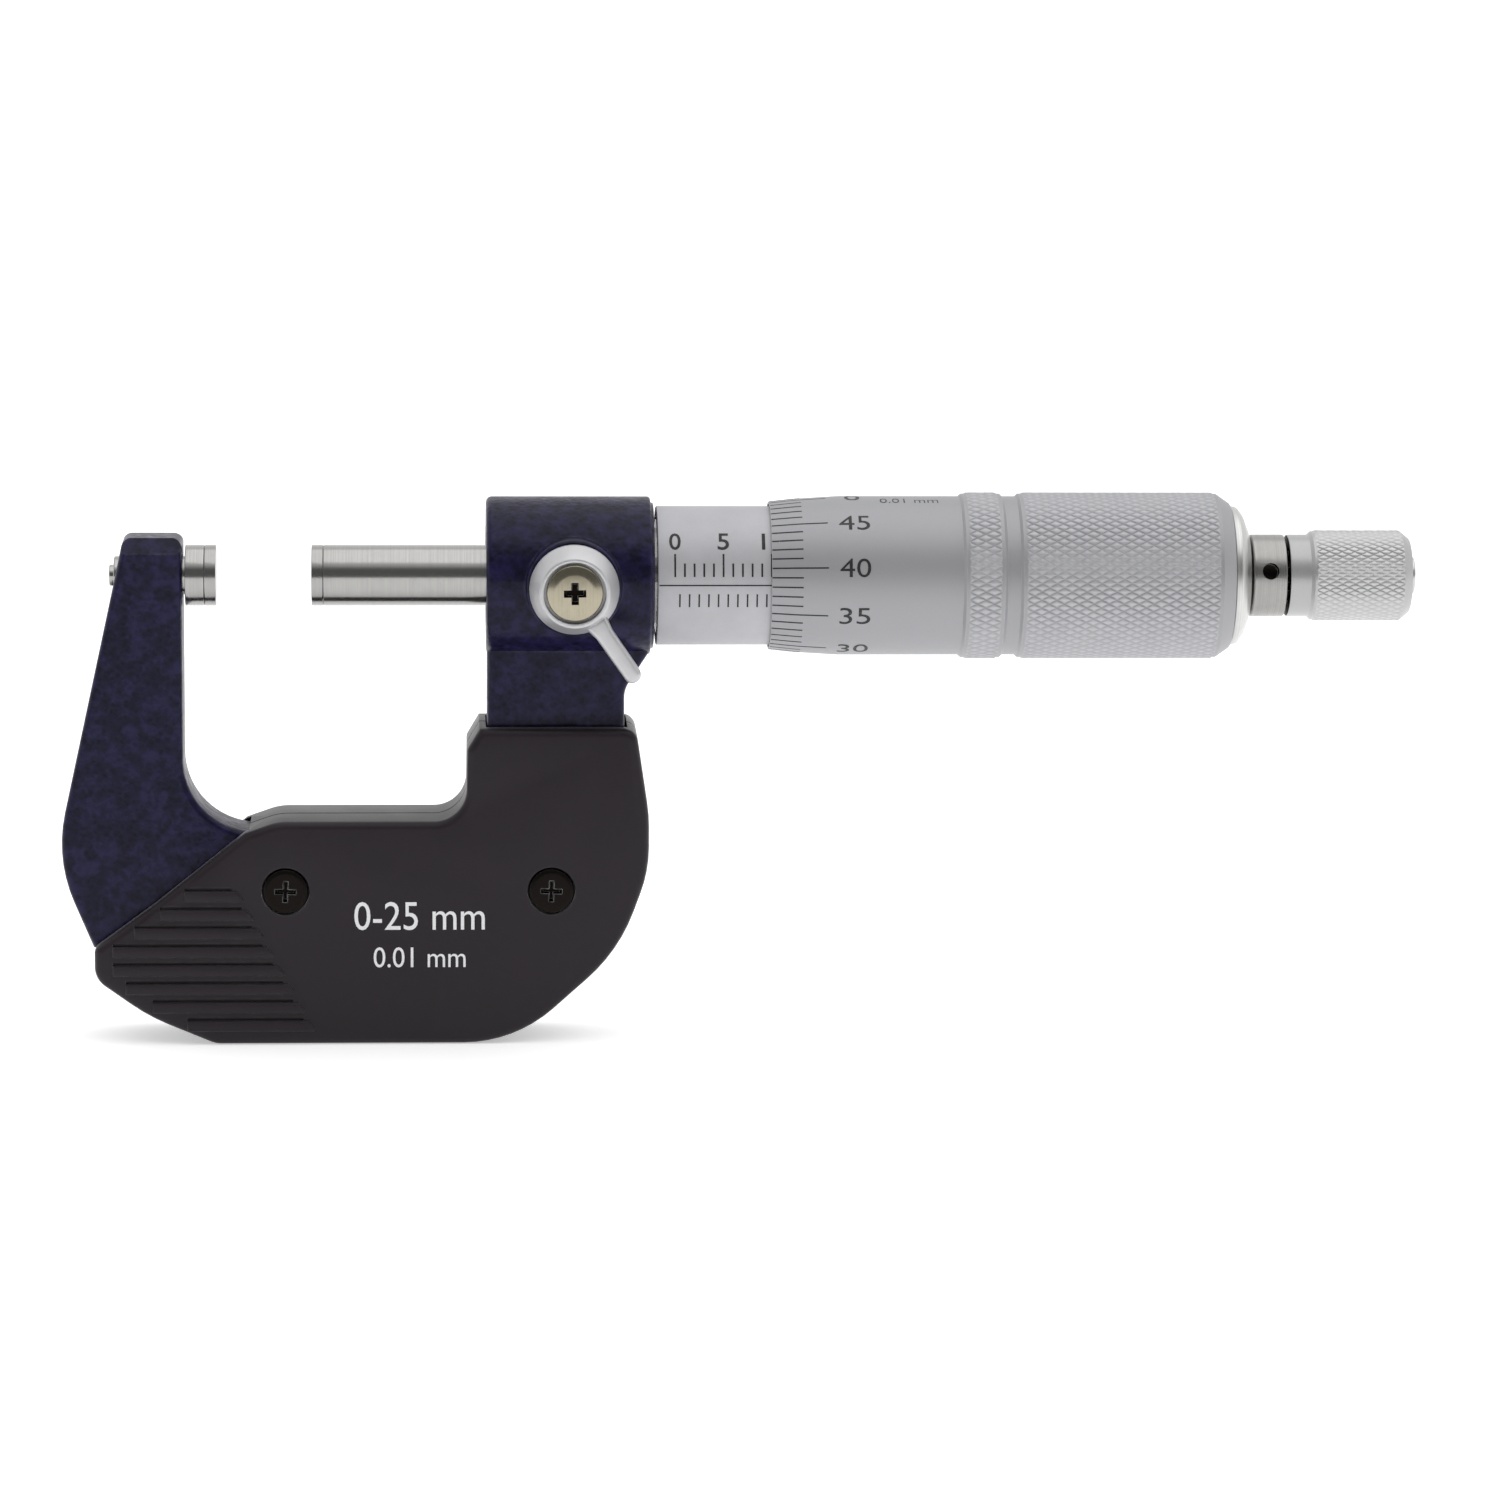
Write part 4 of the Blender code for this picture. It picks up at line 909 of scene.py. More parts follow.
class MICROMETER_OT_frame(bpy.types.Operator):
    """Cast frame with the anvil's arm, the lug for the stem and the lock's boss"""
    bl_idname = "micrometer.frame"
    bl_label = "Frame"

    def execute(self, context):
        rim = context.scene.mic_frame.rim
        casting = plate("frame_casting", frame_corners(), -WEB_HALF, WEB_HALF)
        round_rims(casting, (-WEB_HALF, WEB_HALF), rim)
        edit(casting)
        for side in (-1, 1):
            bpy.ops.mesh.select_all(action="SELECT")
            bpy.ops.mesh.bisect(
                plane_co=(0.0, side * (WEB_HALF - ARM_CHAMFER / 2),
                          ARM_TOP_Z - ARM_CHAMFER / 2),
                plane_no=(0.0, side, 1.0), use_fill=True, clear_outer=True)
        leave()
        edge = 0.6 * MM
        far = 3.0 * MM
        lug = turned("lug", [
            (LUG_X, 0.0, 0.0), (LUG_X, LUG_R, edge), (LUG_END_X, LUG_R, edge),
            (LUG_END_X, SHOULDER_R, 0.15 * MM), (LUG_END_X + SHOULDER, SHOULDER_R, 0.1 * MM),
            (LUG_END_X + SHOULDER, 0.0, 0.0)], sides=FINE_SIDES)
        combine(casting, lug, "UNION")
        boss = face_front(turned("boss", [
            (WEB_HALF, 0.0, 0.0), (WEB_HALF, BOSS_R, 0.0), (BOSS_HEIGHT, BOSS_R, 0.5 * MM),
            (BOSS_HEIGHT, 0.0, 0.0)]), LOCK_X)
        combine(casting, boss, "UNION")
        for name, start, end, radius in (
                ("anvil_hole", ARM_INNER_X - ARM_WIDTH - far, ARM_INNER_X + far, ANVIL_HOLE_R),
                ("stem_hole", LUG_X - far, LUG_END_X + far, STEM_HOLE_R)):
            combine(casting, turned(name, [(start, 0.0, 0.0), (start, radius, 0.0),
                                           (end, radius, 0.0), (end, 0.0, 0.0)]), "DIFFERENCE")
        lock_hole = face_front(turned("lock_hole", [
            (STEM_R - 1.0 * MM, 0.0, 0.0), (STEM_R - 1.0 * MM, 2.2 * MM, 0.0),
            (BOSS_HEIGHT + far, 2.2 * MM, 0.0), (BOSS_HEIGHT + far, 0.0, 0.0)], sides=36),
            LOCK_X)
        combine(casting, lock_hole, "DIFFERENCE")
        clean(casting)
        dress(casting, MATERIALS["paint"], "frame_body", ["frame"])
        return {"FINISHED"}


# --- heat shields -----------------------------------------------------------------------
def shield_corners():
    top = -SHIELD_TOP
    floor = -THROAT_DEPTH + 1.42 * MM
    left = ARM_INNER_X - ARM_WIDTH - LEDGE_OFFSET + 0.15 * MM
    inner = LUG_X - 2.1 * MM
    bottom = FLOOR_Z
    side = LUG_X + RIGHT_WIDTH + SHIELD_WRAP
    return [
        (inner + 1.4 * MM, top, 0.0),
        (inner + 0.1 * MM, top - 2.2 * MM, 1.2 * MM),
        (inner, floor, 3.4 * MM),
        (ARM_INNER_X + 9.8 * MM, floor, 6.0 * MM),
        (ARM_INNER_X + 6.4 * MM, floor - 1.2 * MM, 0.0),
        (ARM_INNER_X - 3.0 * MM, floor - 8.8 * MM, 20.0 * MM),
        (left, -LEDGE_DEPTH + 0.3 * MM, 1.0 * MM),
        (left, bottom + 6.9 * MM, 2.5 * MM),
        (left + 5.6 * MM, bottom + 2.9 * MM, 20.0 * MM),
        (left + 12.5 * MM, bottom, 3.0 * MM),
        (side - 14.0 * MM, bottom, 14.0 * MM),
        (side - 3.1 * MM, bottom + 9.75 * MM, 18.0 * MM),
        (side, bottom + 18.3 * MM, 14.0 * MM),
        (side, bottom + 24.2 * MM, 18.0 * MM),
        (side - 1.4 * MM, top, 1.5 * MM),
    ]


RIB_COUNT = 8
RIB_TOP = -33.0 * MM
RIB_PITCH = 1.97 * MM
RIB_INSET = 1.9 * MM
RIB_FIELD = 5.6 * MM
RIB_SLANT = 1.06 * MM
RIB_SUNK = 0.5 * MM
RIB_GROOVE = 0.34 * MM


def left_edge(obj, z):
    """Where the shield's outline crosses a level, at its left."""
    found = []
    for edge in obj.data.edges:
        first, second = (obj.data.vertices[index].co for index in edge.vertices)
        if (first.z - z) * (second.z - z) < 0.0:
            found.append(first.x + (z - first.z) / (second.z - first.z) * (second.x - first.x))
    return min(found)


def make_shield(settings, name, rear):
    """One half shell, made as the front one and mirrored for the rear."""
    shield = plate(name, shield_corners(), -SHIELD_Y, -SHIELD_STEP / 2)
    ends = [(left_edge(shield, RIB_TOP - RIB_PITCH * index) + RIB_INSET,
             ARM_INNER_X + RIB_FIELD + RIB_SLANT * index) for index in range(RIB_COUNT)]
    round_rims(shield, (-SHIELD_Y,), settings.rim)
    lean = RIB_SLANT * settings.rib_width / RIB_PITCH
    ribs, grooves = [], []
    for index, (start, end) in enumerate(ends):
        centre = (start + end) / 2
        level = RIB_TOP - RIB_PITCH * index
        rib = bar("rib", (centre, -SHIELD_Y + (RIB_SUNK - settings.rib_height) / 2, level),
                  (end - start, settings.rib_height + RIB_SUNK, settings.rib_width), 0.15 * MM)
        edit(rib)
        pick("VERT", lambda vert: vert.co.x > centre and vert.co.z < level)
        bpy.ops.transform.translate(value=(lean, 0.0, 0.0))
        leave()
        ribs.append(rib)
        grooves.append(bar("groove", (centre - lean / 2, -SHIELD_Y,
                                      level + (settings.rib_width + RIB_GROOVE) / 2),
                           (end - start - lean, 2 * RIB_GROOVE, RIB_GROOVE)))
    combine(shield, join("grooves", grooves), "DIFFERENCE")
    combine(shield, join("ribs", ribs), "UNION")
    core = plate("core", frame_corners(SHIELD_GAP), -WEB_HALF - SHIELD_GAP,
                 WEB_HALF + SHIELD_GAP)
    combine(shield, core, "DIFFERENCE")
    counterbore = SCREW_TOP - SCREW_HEAD - SHIELD_GAP
    for x in (SCREW_X, SCREW_2_X):
        hole = face_front(turned("screw_hole", [
            (0.0, 0.0, 0.0), (0.0, 1.25 * MM, 0.0), (counterbore, 1.25 * MM, 0.0),
            (counterbore, SCREW_HEAD_R + 0.2 * MM, 0.0),
            (SHIELD_Y + 2.0 * MM, SCREW_HEAD_R + 0.2 * MM, 0.0),
            (SHIELD_Y + 2.0 * MM, 0.0, 0.0)], sides=48), x, SCREW_Z)
        combine(shield, hole, "DIFFERENCE")
    if rear:
        edit(shield)
        bpy.ops.transform.mirror(orient_type="GLOBAL", constraint_axis=(False, True, False),
                                 center_override=(0.0, 0.0, 0.0))
        leave()
    clean(shield)
    return shield


class MICROMETER_OT_shields(bpy.types.Operator):
    """The two moulded heat shields, and the printed range on the front one"""
    bl_idname = "micrometer.shields"
    bl_label = "Heat Shields"

    def execute(self, context):
        settings = context.scene.mic_shield
        for facing in ("front", "rear"):
            shield = make_shield(settings, f"{facing}_heat_shield", facing == "rear")
            dress(shield, MATERIALS["plastic"], "frame_body",
                  [f"{facing}_shield"])
        lines = []
        for words, height, z, width in (
                ("0-25 mm", settings.print_height, -35.1 * MM, 13.6 * MM),
                ("0.01 mm", 0.72 * settings.print_height, -39.5 * MM, 9.6 * MM)):
            line = text_mesh("range_line", words, height)
            widen(line, width)
            edit(line)
            bpy.ops.transform.translate(value=(21.05 * MM, -SHIELD_Y - 0.012 * MM, z))
            leave()
            lines.append(line)
        printed = join("range_print", lines)
        apply_modifier(printed, "SOLIDIFY", thickness=0.016 * MM, offset=0.0)
        clean(printed)
        dress(printed, MATERIALS["print"], "frame_body")
        return {"FINISHED"}


class MICROMETER_OT_shield_screws(bpy.types.Operator):
    """Four black cross-head screws that hold the heat shields"""
    bl_idname = "micrometer.shield_screws"
    bl_label = "Shield Screws"

    def execute(self, context):
        under = SCREW_TOP - SCREW_HEAD
        first = face_front(turned("shield_screw", [
            (0.8 * MM, 0.0, 0.0), (0.8 * MM, 0.95 * MM, 0.2 * MM), (under, 0.95 * MM, 0.0),
            (under, SCREW_HEAD_R, 0.05 * MM), (SCREW_TOP - 0.12 * MM, SCREW_HEAD_R, 0.12 * MM),
            (SCREW_TOP, 0.82 * SCREW_HEAD_R, 0.3 * MM), (SCREW_TOP, 0.0, 0.0)], sides=48))
        bit = cross("bit", 1.25 * MM, 0.55 * MM, -SCREW_TOP - 0.5 * MM, -SCREW_TOP + 0.7 * MM)
        bit.matrix_world = Matrix.Rotation(math.radians(2.0), 4, "Y")
        settle(bit)
        first.data.materials.append(MATERIALS["black"])
        # The cross recess takes the dark recess_shadow finish: painted shade.
        combine(first, bit, "DIFFERENCE", MATERIALS["recess"])
        for facing, turn in (("front", 0.0), ("rear", math.pi)):
            for side, x in (("left", SCREW_X), ("right", SCREW_2_X)):
                node = f"{facing}_shield_screw_{side}"
                screw = first.copy()
                screw.data = first.data.copy()
                screw.name = screw.data.name = f"{facing}_{side}_screw"
                context.scene.collection.objects.link(screw)
                screw.matrix_world = (Matrix.Translation((x, 0.0, SCREW_Z))
                                      @ Matrix.Rotation(turn, 4, "Z"))
                settle(screw)
                dress(screw, MATERIALS["black"], "frame_body", [node])
        bpy.data.objects.remove(first, do_unlink=True)
        return {"FINISHED"}


# --- measuring faces, spindle and sleeve ------------------------------------------------
class MICROMETER_OT_measuring_faces(bpy.types.Operator):
    """Anvil, spindle and their carbide tips"""
    bl_idname = "micrometer.measuring_faces"
    bl_label = "Measuring Faces"

    def execute(self, context):
        line = 0.03 * MM
        edge = 0.08 * MM
        back = low("anvil").x
        shank_x = back + 0.5 * MM
        anvil = turned("anvil_pin", [
            (back, 0.0, 0.0), (back, 1.1 * MM, 0.1 * MM), (shank_x, 1.1 * MM, 0.0),
            (shank_x, 2.0 * MM, 0.15 * MM), (ARM_INNER_X + 0.3 * MM, 2.0 * MM, 0.0),
            (ARM_INNER_X + 0.3 * MM, SPINDLE_R, edge), (-TIP_LENGTH - line, SPINDLE_R, edge),
            (-TIP_LENGTH - line, 0.0, 0.0)], sides=FINE_SIDES)
        dress(anvil, MATERIALS["steel"], "frame_body", ["anvil"])
        tip = turned("anvil_face", [
            (-TIP_LENGTH, 0.0, 0.0), (-TIP_LENGTH, SPINDLE_R, edge), (0.0, SPINDLE_R, edge),
            (0.0, 0.0, 0.0)], sides=FINE_SIDES)
        dress(tip, MATERIALS["carbide"], "frame_body", ["anvil_tip"])
        start, end = low("spindle_tip").x, high("spindle_tip").x
        face = turned("spindle_face", [
            (start, 0.0, 0.0), (start, SPINDLE_R, edge), (end, SPINDLE_R, edge),
            (end, 0.0, 0.0)], sides=FINE_SIDES)
        dress(face, MATERIALS["carbide"], "feed_body", ["spindle_tip"])
        neck = low("spindle").x + 46.0 * MM
        thread = neck + 4.6 * MM
        spindle_end = high("spindle").x
        seat = spindle_end - 6.0 * MM
        screw = []
        for index in range(int((seat - thread) / THREAD_PITCH)):
            place = thread + THREAD_PITCH * index
            screw += [(place, 3.6 * MM, 0.0), (place + THREAD_PITCH / 2, 3.3 * MM, 0.0)]
        spindle = turned("spindle_rod", [
            (end + line, 0.0, 0.0), (end + line, SPINDLE_R, edge), (neck, SPINDLE_R, 0.1 * MM),
            (neck, 2.9 * MM, 0.0), (thread - 0.3 * MM, 2.9 * MM, 0.0), *screw,
            (seat, 3.6 * MM, 0.0), (spindle_end, 3.0 * MM, 0.1 * MM),
            (spindle_end, 1.9 * MM, 0.0), (spindle_end - 6.0 * MM, 1.9 * MM, 0.0),
            (spindle_end - 6.0 * MM, 0.0, 0.0)], sides=FINE_SIDES)
        dress(spindle, MATERIALS["steel"], "thimble_body", ["spindle"])
        return {"FINISHED"}


def widen(obj, width):
    """Stretches lettering along X to a given width."""
    wide = 2 * max(vert.co.x for vert in obj.data.vertices)
    edit(obj)
    bpy.ops.transform.resize(value=(width / wide, 1.0, 1.0), center_override=(0.0, 0.0, 0.0))
    leave()


def number_marks(values, place, target, height, width, thin, raised):
    """Engraved numbers, each projected on its turned piece. place() gives x and angle."""
    made = []
    for value in values:
        number = text_mesh("number", str(value), height, thin)
        widen(number, width * len(str(value)))
        slice_flat(number)
        x, angle = place(value)
        made.append(lay_on(number, target, x, angle, raised))
    return made


class MICROMETER_OT_sleeve(bpy.types.Operator):
    """Sleeve with its datum line, millimetre and half-millimetre divisions and numbers"""
    bl_idname = "micrometer.sleeve"
    bl_label = "Sleeve"

    def execute(self, context):
        scale = context.scene.mic_scale
        bore = SLEEVE_R - SLEEVE_WALL
        sleeve = turned("graduated_sleeve", [
            (SLEEVE_X, bore, 0.0), (SLEEVE_X, SLEEVE_R, 0.12 * MM),
            (SLEEVE_END_X, SLEEVE_R, 0.2 * MM), (SLEEVE_END_X, bore, 0.1 * MM)],
            closed=True, sides=FINE_SIDES)
        hole = face_front(turned("spanner_hole", [
            (SLEEVE_R - 2.0 * MM, 0.0, 0.0), (SLEEVE_R - 2.0 * MM, 0.75 * MM, 0.0),
            (SLEEVE_R + 1.0 * MM, 0.75 * MM, 0.0), (SLEEVE_R + 1.0 * MM, 0.0, 0.0)], sides=24))
        hole.matrix_world = (Matrix.Translation((SPANNER_X, 0.0, 0.0))
                             @ Matrix.Rotation(math.pi, 4, "Z"))
        settle(hole)
        sleeve.data.materials.append(MATERIALS["sleeve"])
        # The spanner hole's walls take the dark recess_shadow finish: painted shade.
        combine(sleeve, hole, "DIFFERENCE", MATERIALS["recess"])
        dress(sleeve, MATERIALS["sleeve"], "sleeve_body", ["sleeve"])
        raised = scale.raised
        datum = strip("datum", SLEEVE_END_X - SLEEVE_X - 0.3 * MM, scale.line)
        marks = [lay_on(datum, sleeve, (SLEEVE_X + SLEEVE_END_X) / 2, 0.0, raised)]

        def tick(first, last, x, wide):
            tall = math.radians(last - first) * SLEEVE_R
            mark = strip("tick", wide, tall, cuts_z=6)
            return lay_on(mark, sleeve, x, math.radians((first + last) / 2), raised)
        for start in range(5):
            long = start == 0
            marks += copies(tick(7.0, 26.0 if long else 18.0, ZERO_X + start * MM,
                                 1.3 * scale.line), 6 if long else 5, axis_step=5.0 * MM)
        marks += copies(tick(-18.6, -7.3, ZERO_X + 0.5 * MM, 1.15 * scale.line), 25,
                        axis_step=1.0 * MM)

        def number_place(value):
            aside = 0.2 * MM if value > 9 else 0.0
            return ZERO_X + value * MM + aside, math.radians(37.3)
        marks += number_marks(range(0, 30, 5), number_place, sleeve, scale.sleeve_number,
                              1.2 * MM, 0.008, raised)
        engraved = join("sleeve_marks", marks)
        dress(engraved, MATERIALS["ink"], "sleeve_body")
        return {"FINISHED"}


# --- thimble ----------------------------------------------------------------------------
class MICROMETER_OT_thimble(bpy.types.Operator):
    """Thimble with its bevel, knurled band and grip, its fifty divisions, and its end cap"""
    bl_idname = "micrometer.thimble"
    bl_label = "Thimble"

    def execute(self, context):
        scale = context.scene.mic_scale
        grip = context.scene.mic_grip
        depth = grip.depth
        bulge = THIMBLE_EDGE_R + 0.55 * (THIMBLE_R - THIMBLE_EDGE_R)
        edge = 0.3 * MM
        pitch = 1.6 * MM
        root = KNURL_R - depth
        floor_x = THIMBLE_END_X - 5.6 * MM
        shell = turned("thimble_shell", [
            (EDGE_X, THIMBLE_BORE_R, 0.0), (EDGE_X, THIMBLE_EDGE_R, 0.04 * MM),
            (EDGE_X + 0.4 * BEVEL_LENGTH, bulge, 30.0 * MM),
            (EDGE_X + BEVEL_LENGTH, THIMBLE_R, 12.0 * MM), (BAND_X, THIMBLE_R, 0.0),
            (BAND_X + edge, root, 0.0), *rows(BAND_X + 2 * edge, GROOVE_X - 2 * edge, root, pitch),
            (GROOVE_X - edge, root, 0.0), (GROOVE_X, THIMBLE_R, 0.0),
            (KNURL_X, THIMBLE_R, 0.0), (KNURL_X + edge, root, 0.0),
            *rows(KNURL_X + 2 * edge, KNURL_END_X - edge, root, pitch),
            (KNURL_END_X, root, 0.1 * MM),
            (THIMBLE_END_X, THIMBLE_END_R, 0.25 * MM), (THIMBLE_END_X, 3.3 * MM, 0.0),
            (floor_x, 3.9 * MM, 0.0), (floor_x, THIMBLE_BORE_R, 0.0)],
            closed=True, sides=grip.thimble_count, step=math.radians(2.0))
        raised_r = root - 0.05 * MM
        for start, end in ((BAND_X + 2 * edge, GROOVE_X - 2 * edge),
                           (KNURL_X + 2 * edge, KNURL_END_X - edge)):
            knurl(shell, start - HAIR, end + HAIR, raised_r, 0.2 * MM, depth)
        dress(shell, MATERIALS["knurl"], "thimble_body", ["thimble"])
        marks = []
        division = math.tau / 50

        for start in range(5):
            near = EDGE_X + 0.05 * MM
            far = EDGE_X + (5.85 if start == 0 else 3.25) * MM
            ray = lay_on(strip("ray", far - near, scale.line, cuts_x=8), shell,
                         (near + far) / 2, (start - READING_LINE) * division, scale.raised)
            marks += copies(ray, 10, turn_step=5 * division)
        marks += number_marks(range(0, 50, 5),
                              lambda value: (66.1 * MM, (value - READING_LINE) * division),
                              shell, scale.thimble_number, 1.6 * MM, -0.001, scale.raised)
        unit = text_mesh("unit", "0.01 mm", 1.2 * MM, -0.012)
        slice_flat(unit)
        marks.append(lay_on(unit, shell, 72.0 * MM, math.radians(78.0), scale.raised))
        engraved = join("thimble_marks", marks)
        dress(engraved, MATERIALS["ink"], "thimble_body")
        joint_x = THIMBLE_END_X + 0.04 * MM
        cap = turned("end_cap", [
            (joint_x, 3.4 * MM, 0.0), (joint_x, CAP_R, 0.1 * MM),
            (CAP_X + 0.45 * MM, CAP_R - 0.1 * MM, 0.4 * MM),
            (CAP_X + 1.05 * MM, CAP_R - 0.9 * MM, 0.5 * MM),
            (CAP_END_X, CAP_R - 2.3 * MM, 0.15 * MM), (CAP_END_X, 1.95 * MM, 0.0),
            (CAP_X, 1.95 * MM, 0.0), (CAP_X, 3.4 * MM, 0.0)],
            closed=True, sides=FINE_SIDES)
        dress(cap, MATERIALS["cap"], "thimble_body", ["thimble_cap"])
        return {"FINISHED"}


# --- ratchet ----------------------------------------------------------------------------
class MICROMETER_OT_ratchet(bpy.types.Operator):
    """Ratchet body, knurled knob and end screw"""
    bl_idname = "micrometer.ratchet"
    bl_label = "Ratchet"

    def execute(self, context):
        grip = context.scene.mic_grip
        stud_x = low("ratchet_body").x
        spigot_x = high("ratchet_body").x
        body = turned("ratchet_barrel", [
            (stud_x, 0.0, 0.0), (stud_x, 1.6 * MM, 0.2 * MM), (DISC_X, 1.6 * MM, 0.0),
            (DISC_X, DISC_R, 0.25 * MM), (DISC_END_X, DISC_R, 0.2 * MM),
            (DISC_END_X, 2.0 * MM, 0.0), (spigot_x, 2.0 * MM, 0.1 * MM),
            (spigot_x, 1.3 * MM, 0.0), (spigot_x - 6.0 * MM, 1.3 * MM, 0.0),
            (spigot_x - 6.0 * MM, 0.0, 0.0)])
        tooth = bar("tooth", (DISC_END_X + 0.1 * MM, 0.0, 2.65 * MM),
                    (0.6 * MM, 0.7 * MM, 0.66 * MM))
        ring = join("teeth", copies(tooth, TEETH, turn_step=math.tau / TEETH))
        body.data.materials.append(MATERIALS["disc"])
        # The teeth take the dark recess_shadow finish: painted shade in the gap between disc and
        # knob.
        combine(body, ring, "UNION", MATERIALS["recess"])
        hole = face_front(turned("tommy_hole", [
            (DISC_R - 1.5 * MM, 0.0, 0.0), (DISC_R - 1.2 * MM, 0.87 * MM, 0.0),
            (DISC_R + 1.0 * MM, 0.87 * MM, 0.0), (DISC_R + 1.0 * MM, 0.0, 0.0)], sides=36))
        hole.matrix_world = (Matrix.Translation(((DISC_X + DISC_END_X) / 2, 0.0, 0.0))
                             @ Matrix.Rotation(math.radians(-14.0), 4, "X"))
        settle(hole)
        # The tommy hole's walls take the black finish: painted shade inside the hole.
        combine(body, hole, "DIFFERENCE", MATERIALS["black"])
        # Every face right of the disc also gets painted shade.
        finish_faces(body, MATERIALS["recess"],
                     lambda face: face.calc_center_median().x > DISC_END_X + HAIR)
        dress(body, MATERIALS["disc"], "thimble_body", ["ratchet_body"])
        collar = KNOB_X + 2.0 * MM
        depth = 0.8 * grip.depth
        root = KNOB_R - depth
        chamfer_x = KNOB_END_X - 0.9 * MM
        knob_x = KNOB_X - 0.18 * MM
        knob = turned("ratchet_grip", [
            (knob_x, 3.3 * MM, 0.0), (knob_x, DISC_R, 0.12 * MM), (collar, DISC_R, 0.0),
            (collar + 0.35 * MM, root, 0.0), *rows(collar + 0.55 * MM, chamfer_x, root, 1.35 * MM),
            (KNOB_END_X, KNOB_R - 0.85 * MM, 0.15 * MM), (KNOB_END_X, 3.0 * MM, 0.1 * MM),
            (spigot_x, 3.0 * MM, 0.0), (spigot_x, 2.3 * MM, 0.0),
            (KNOB_X + 7.2 * MM, 2.3 * MM, 0.0), (KNOB_X + 7.2 * MM, 3.3 * MM, 0.0)],
            closed=True, sides=grip.knob_count)
        knurl(knob, collar + 0.5 * MM, chamfer_x + HAIR, root - 0.05 * MM, 0.15 * MM, depth)
        knob.data.materials.append(MATERIALS["knob_knurl"])
        # The knob's face towards the disc gets painted shade.
        finish_faces(knob, MATERIALS["recess"],
                     lambda face: face.calc_center_median().x < knob_x + HAIR
                     and face.normal.x < -0.9)
        dress(knob, MATERIALS["knob_knurl"], "knob_body", ["ratchet_knob"])
        screw_x = low("ratchet_screw").x
        head_x = spigot_x + 0.3 * MM
        screw = turned("ratchet_end_screw", [
            (screw_x, 0.0, 0.0), (screw_x, 1.0 * MM, 0.2 * MM), (head_x, 1.0 * MM, 0.0),
            (head_x, 2.7 * MM, 0.1 * MM), (head_x + 0.7 * MM, 2.7 * MM, 0.1 * MM),
            (head_x + 0.7 * MM, 2.0 * MM, 0.0), (END_X, 2.0 * MM, 0.25 * MM),
            (END_X, 0.0, 0.0)], sides=48)
        slot = bar("slot", (END_X, 0.0, 0.0), (1.2 * MM, 0.5 * MM, 6.0 * MM))
        screw.data.materials.append(MATERIALS["polished"])
        # The slot takes the dark recess_shadow finish: painted shade.
        combine(screw, slot, "DIFFERENCE", MATERIALS["recess"])
        dress(screw, MATERIALS["polished"], "thimble_body", ["ratchet_screw"])
        return {"FINISHED"}


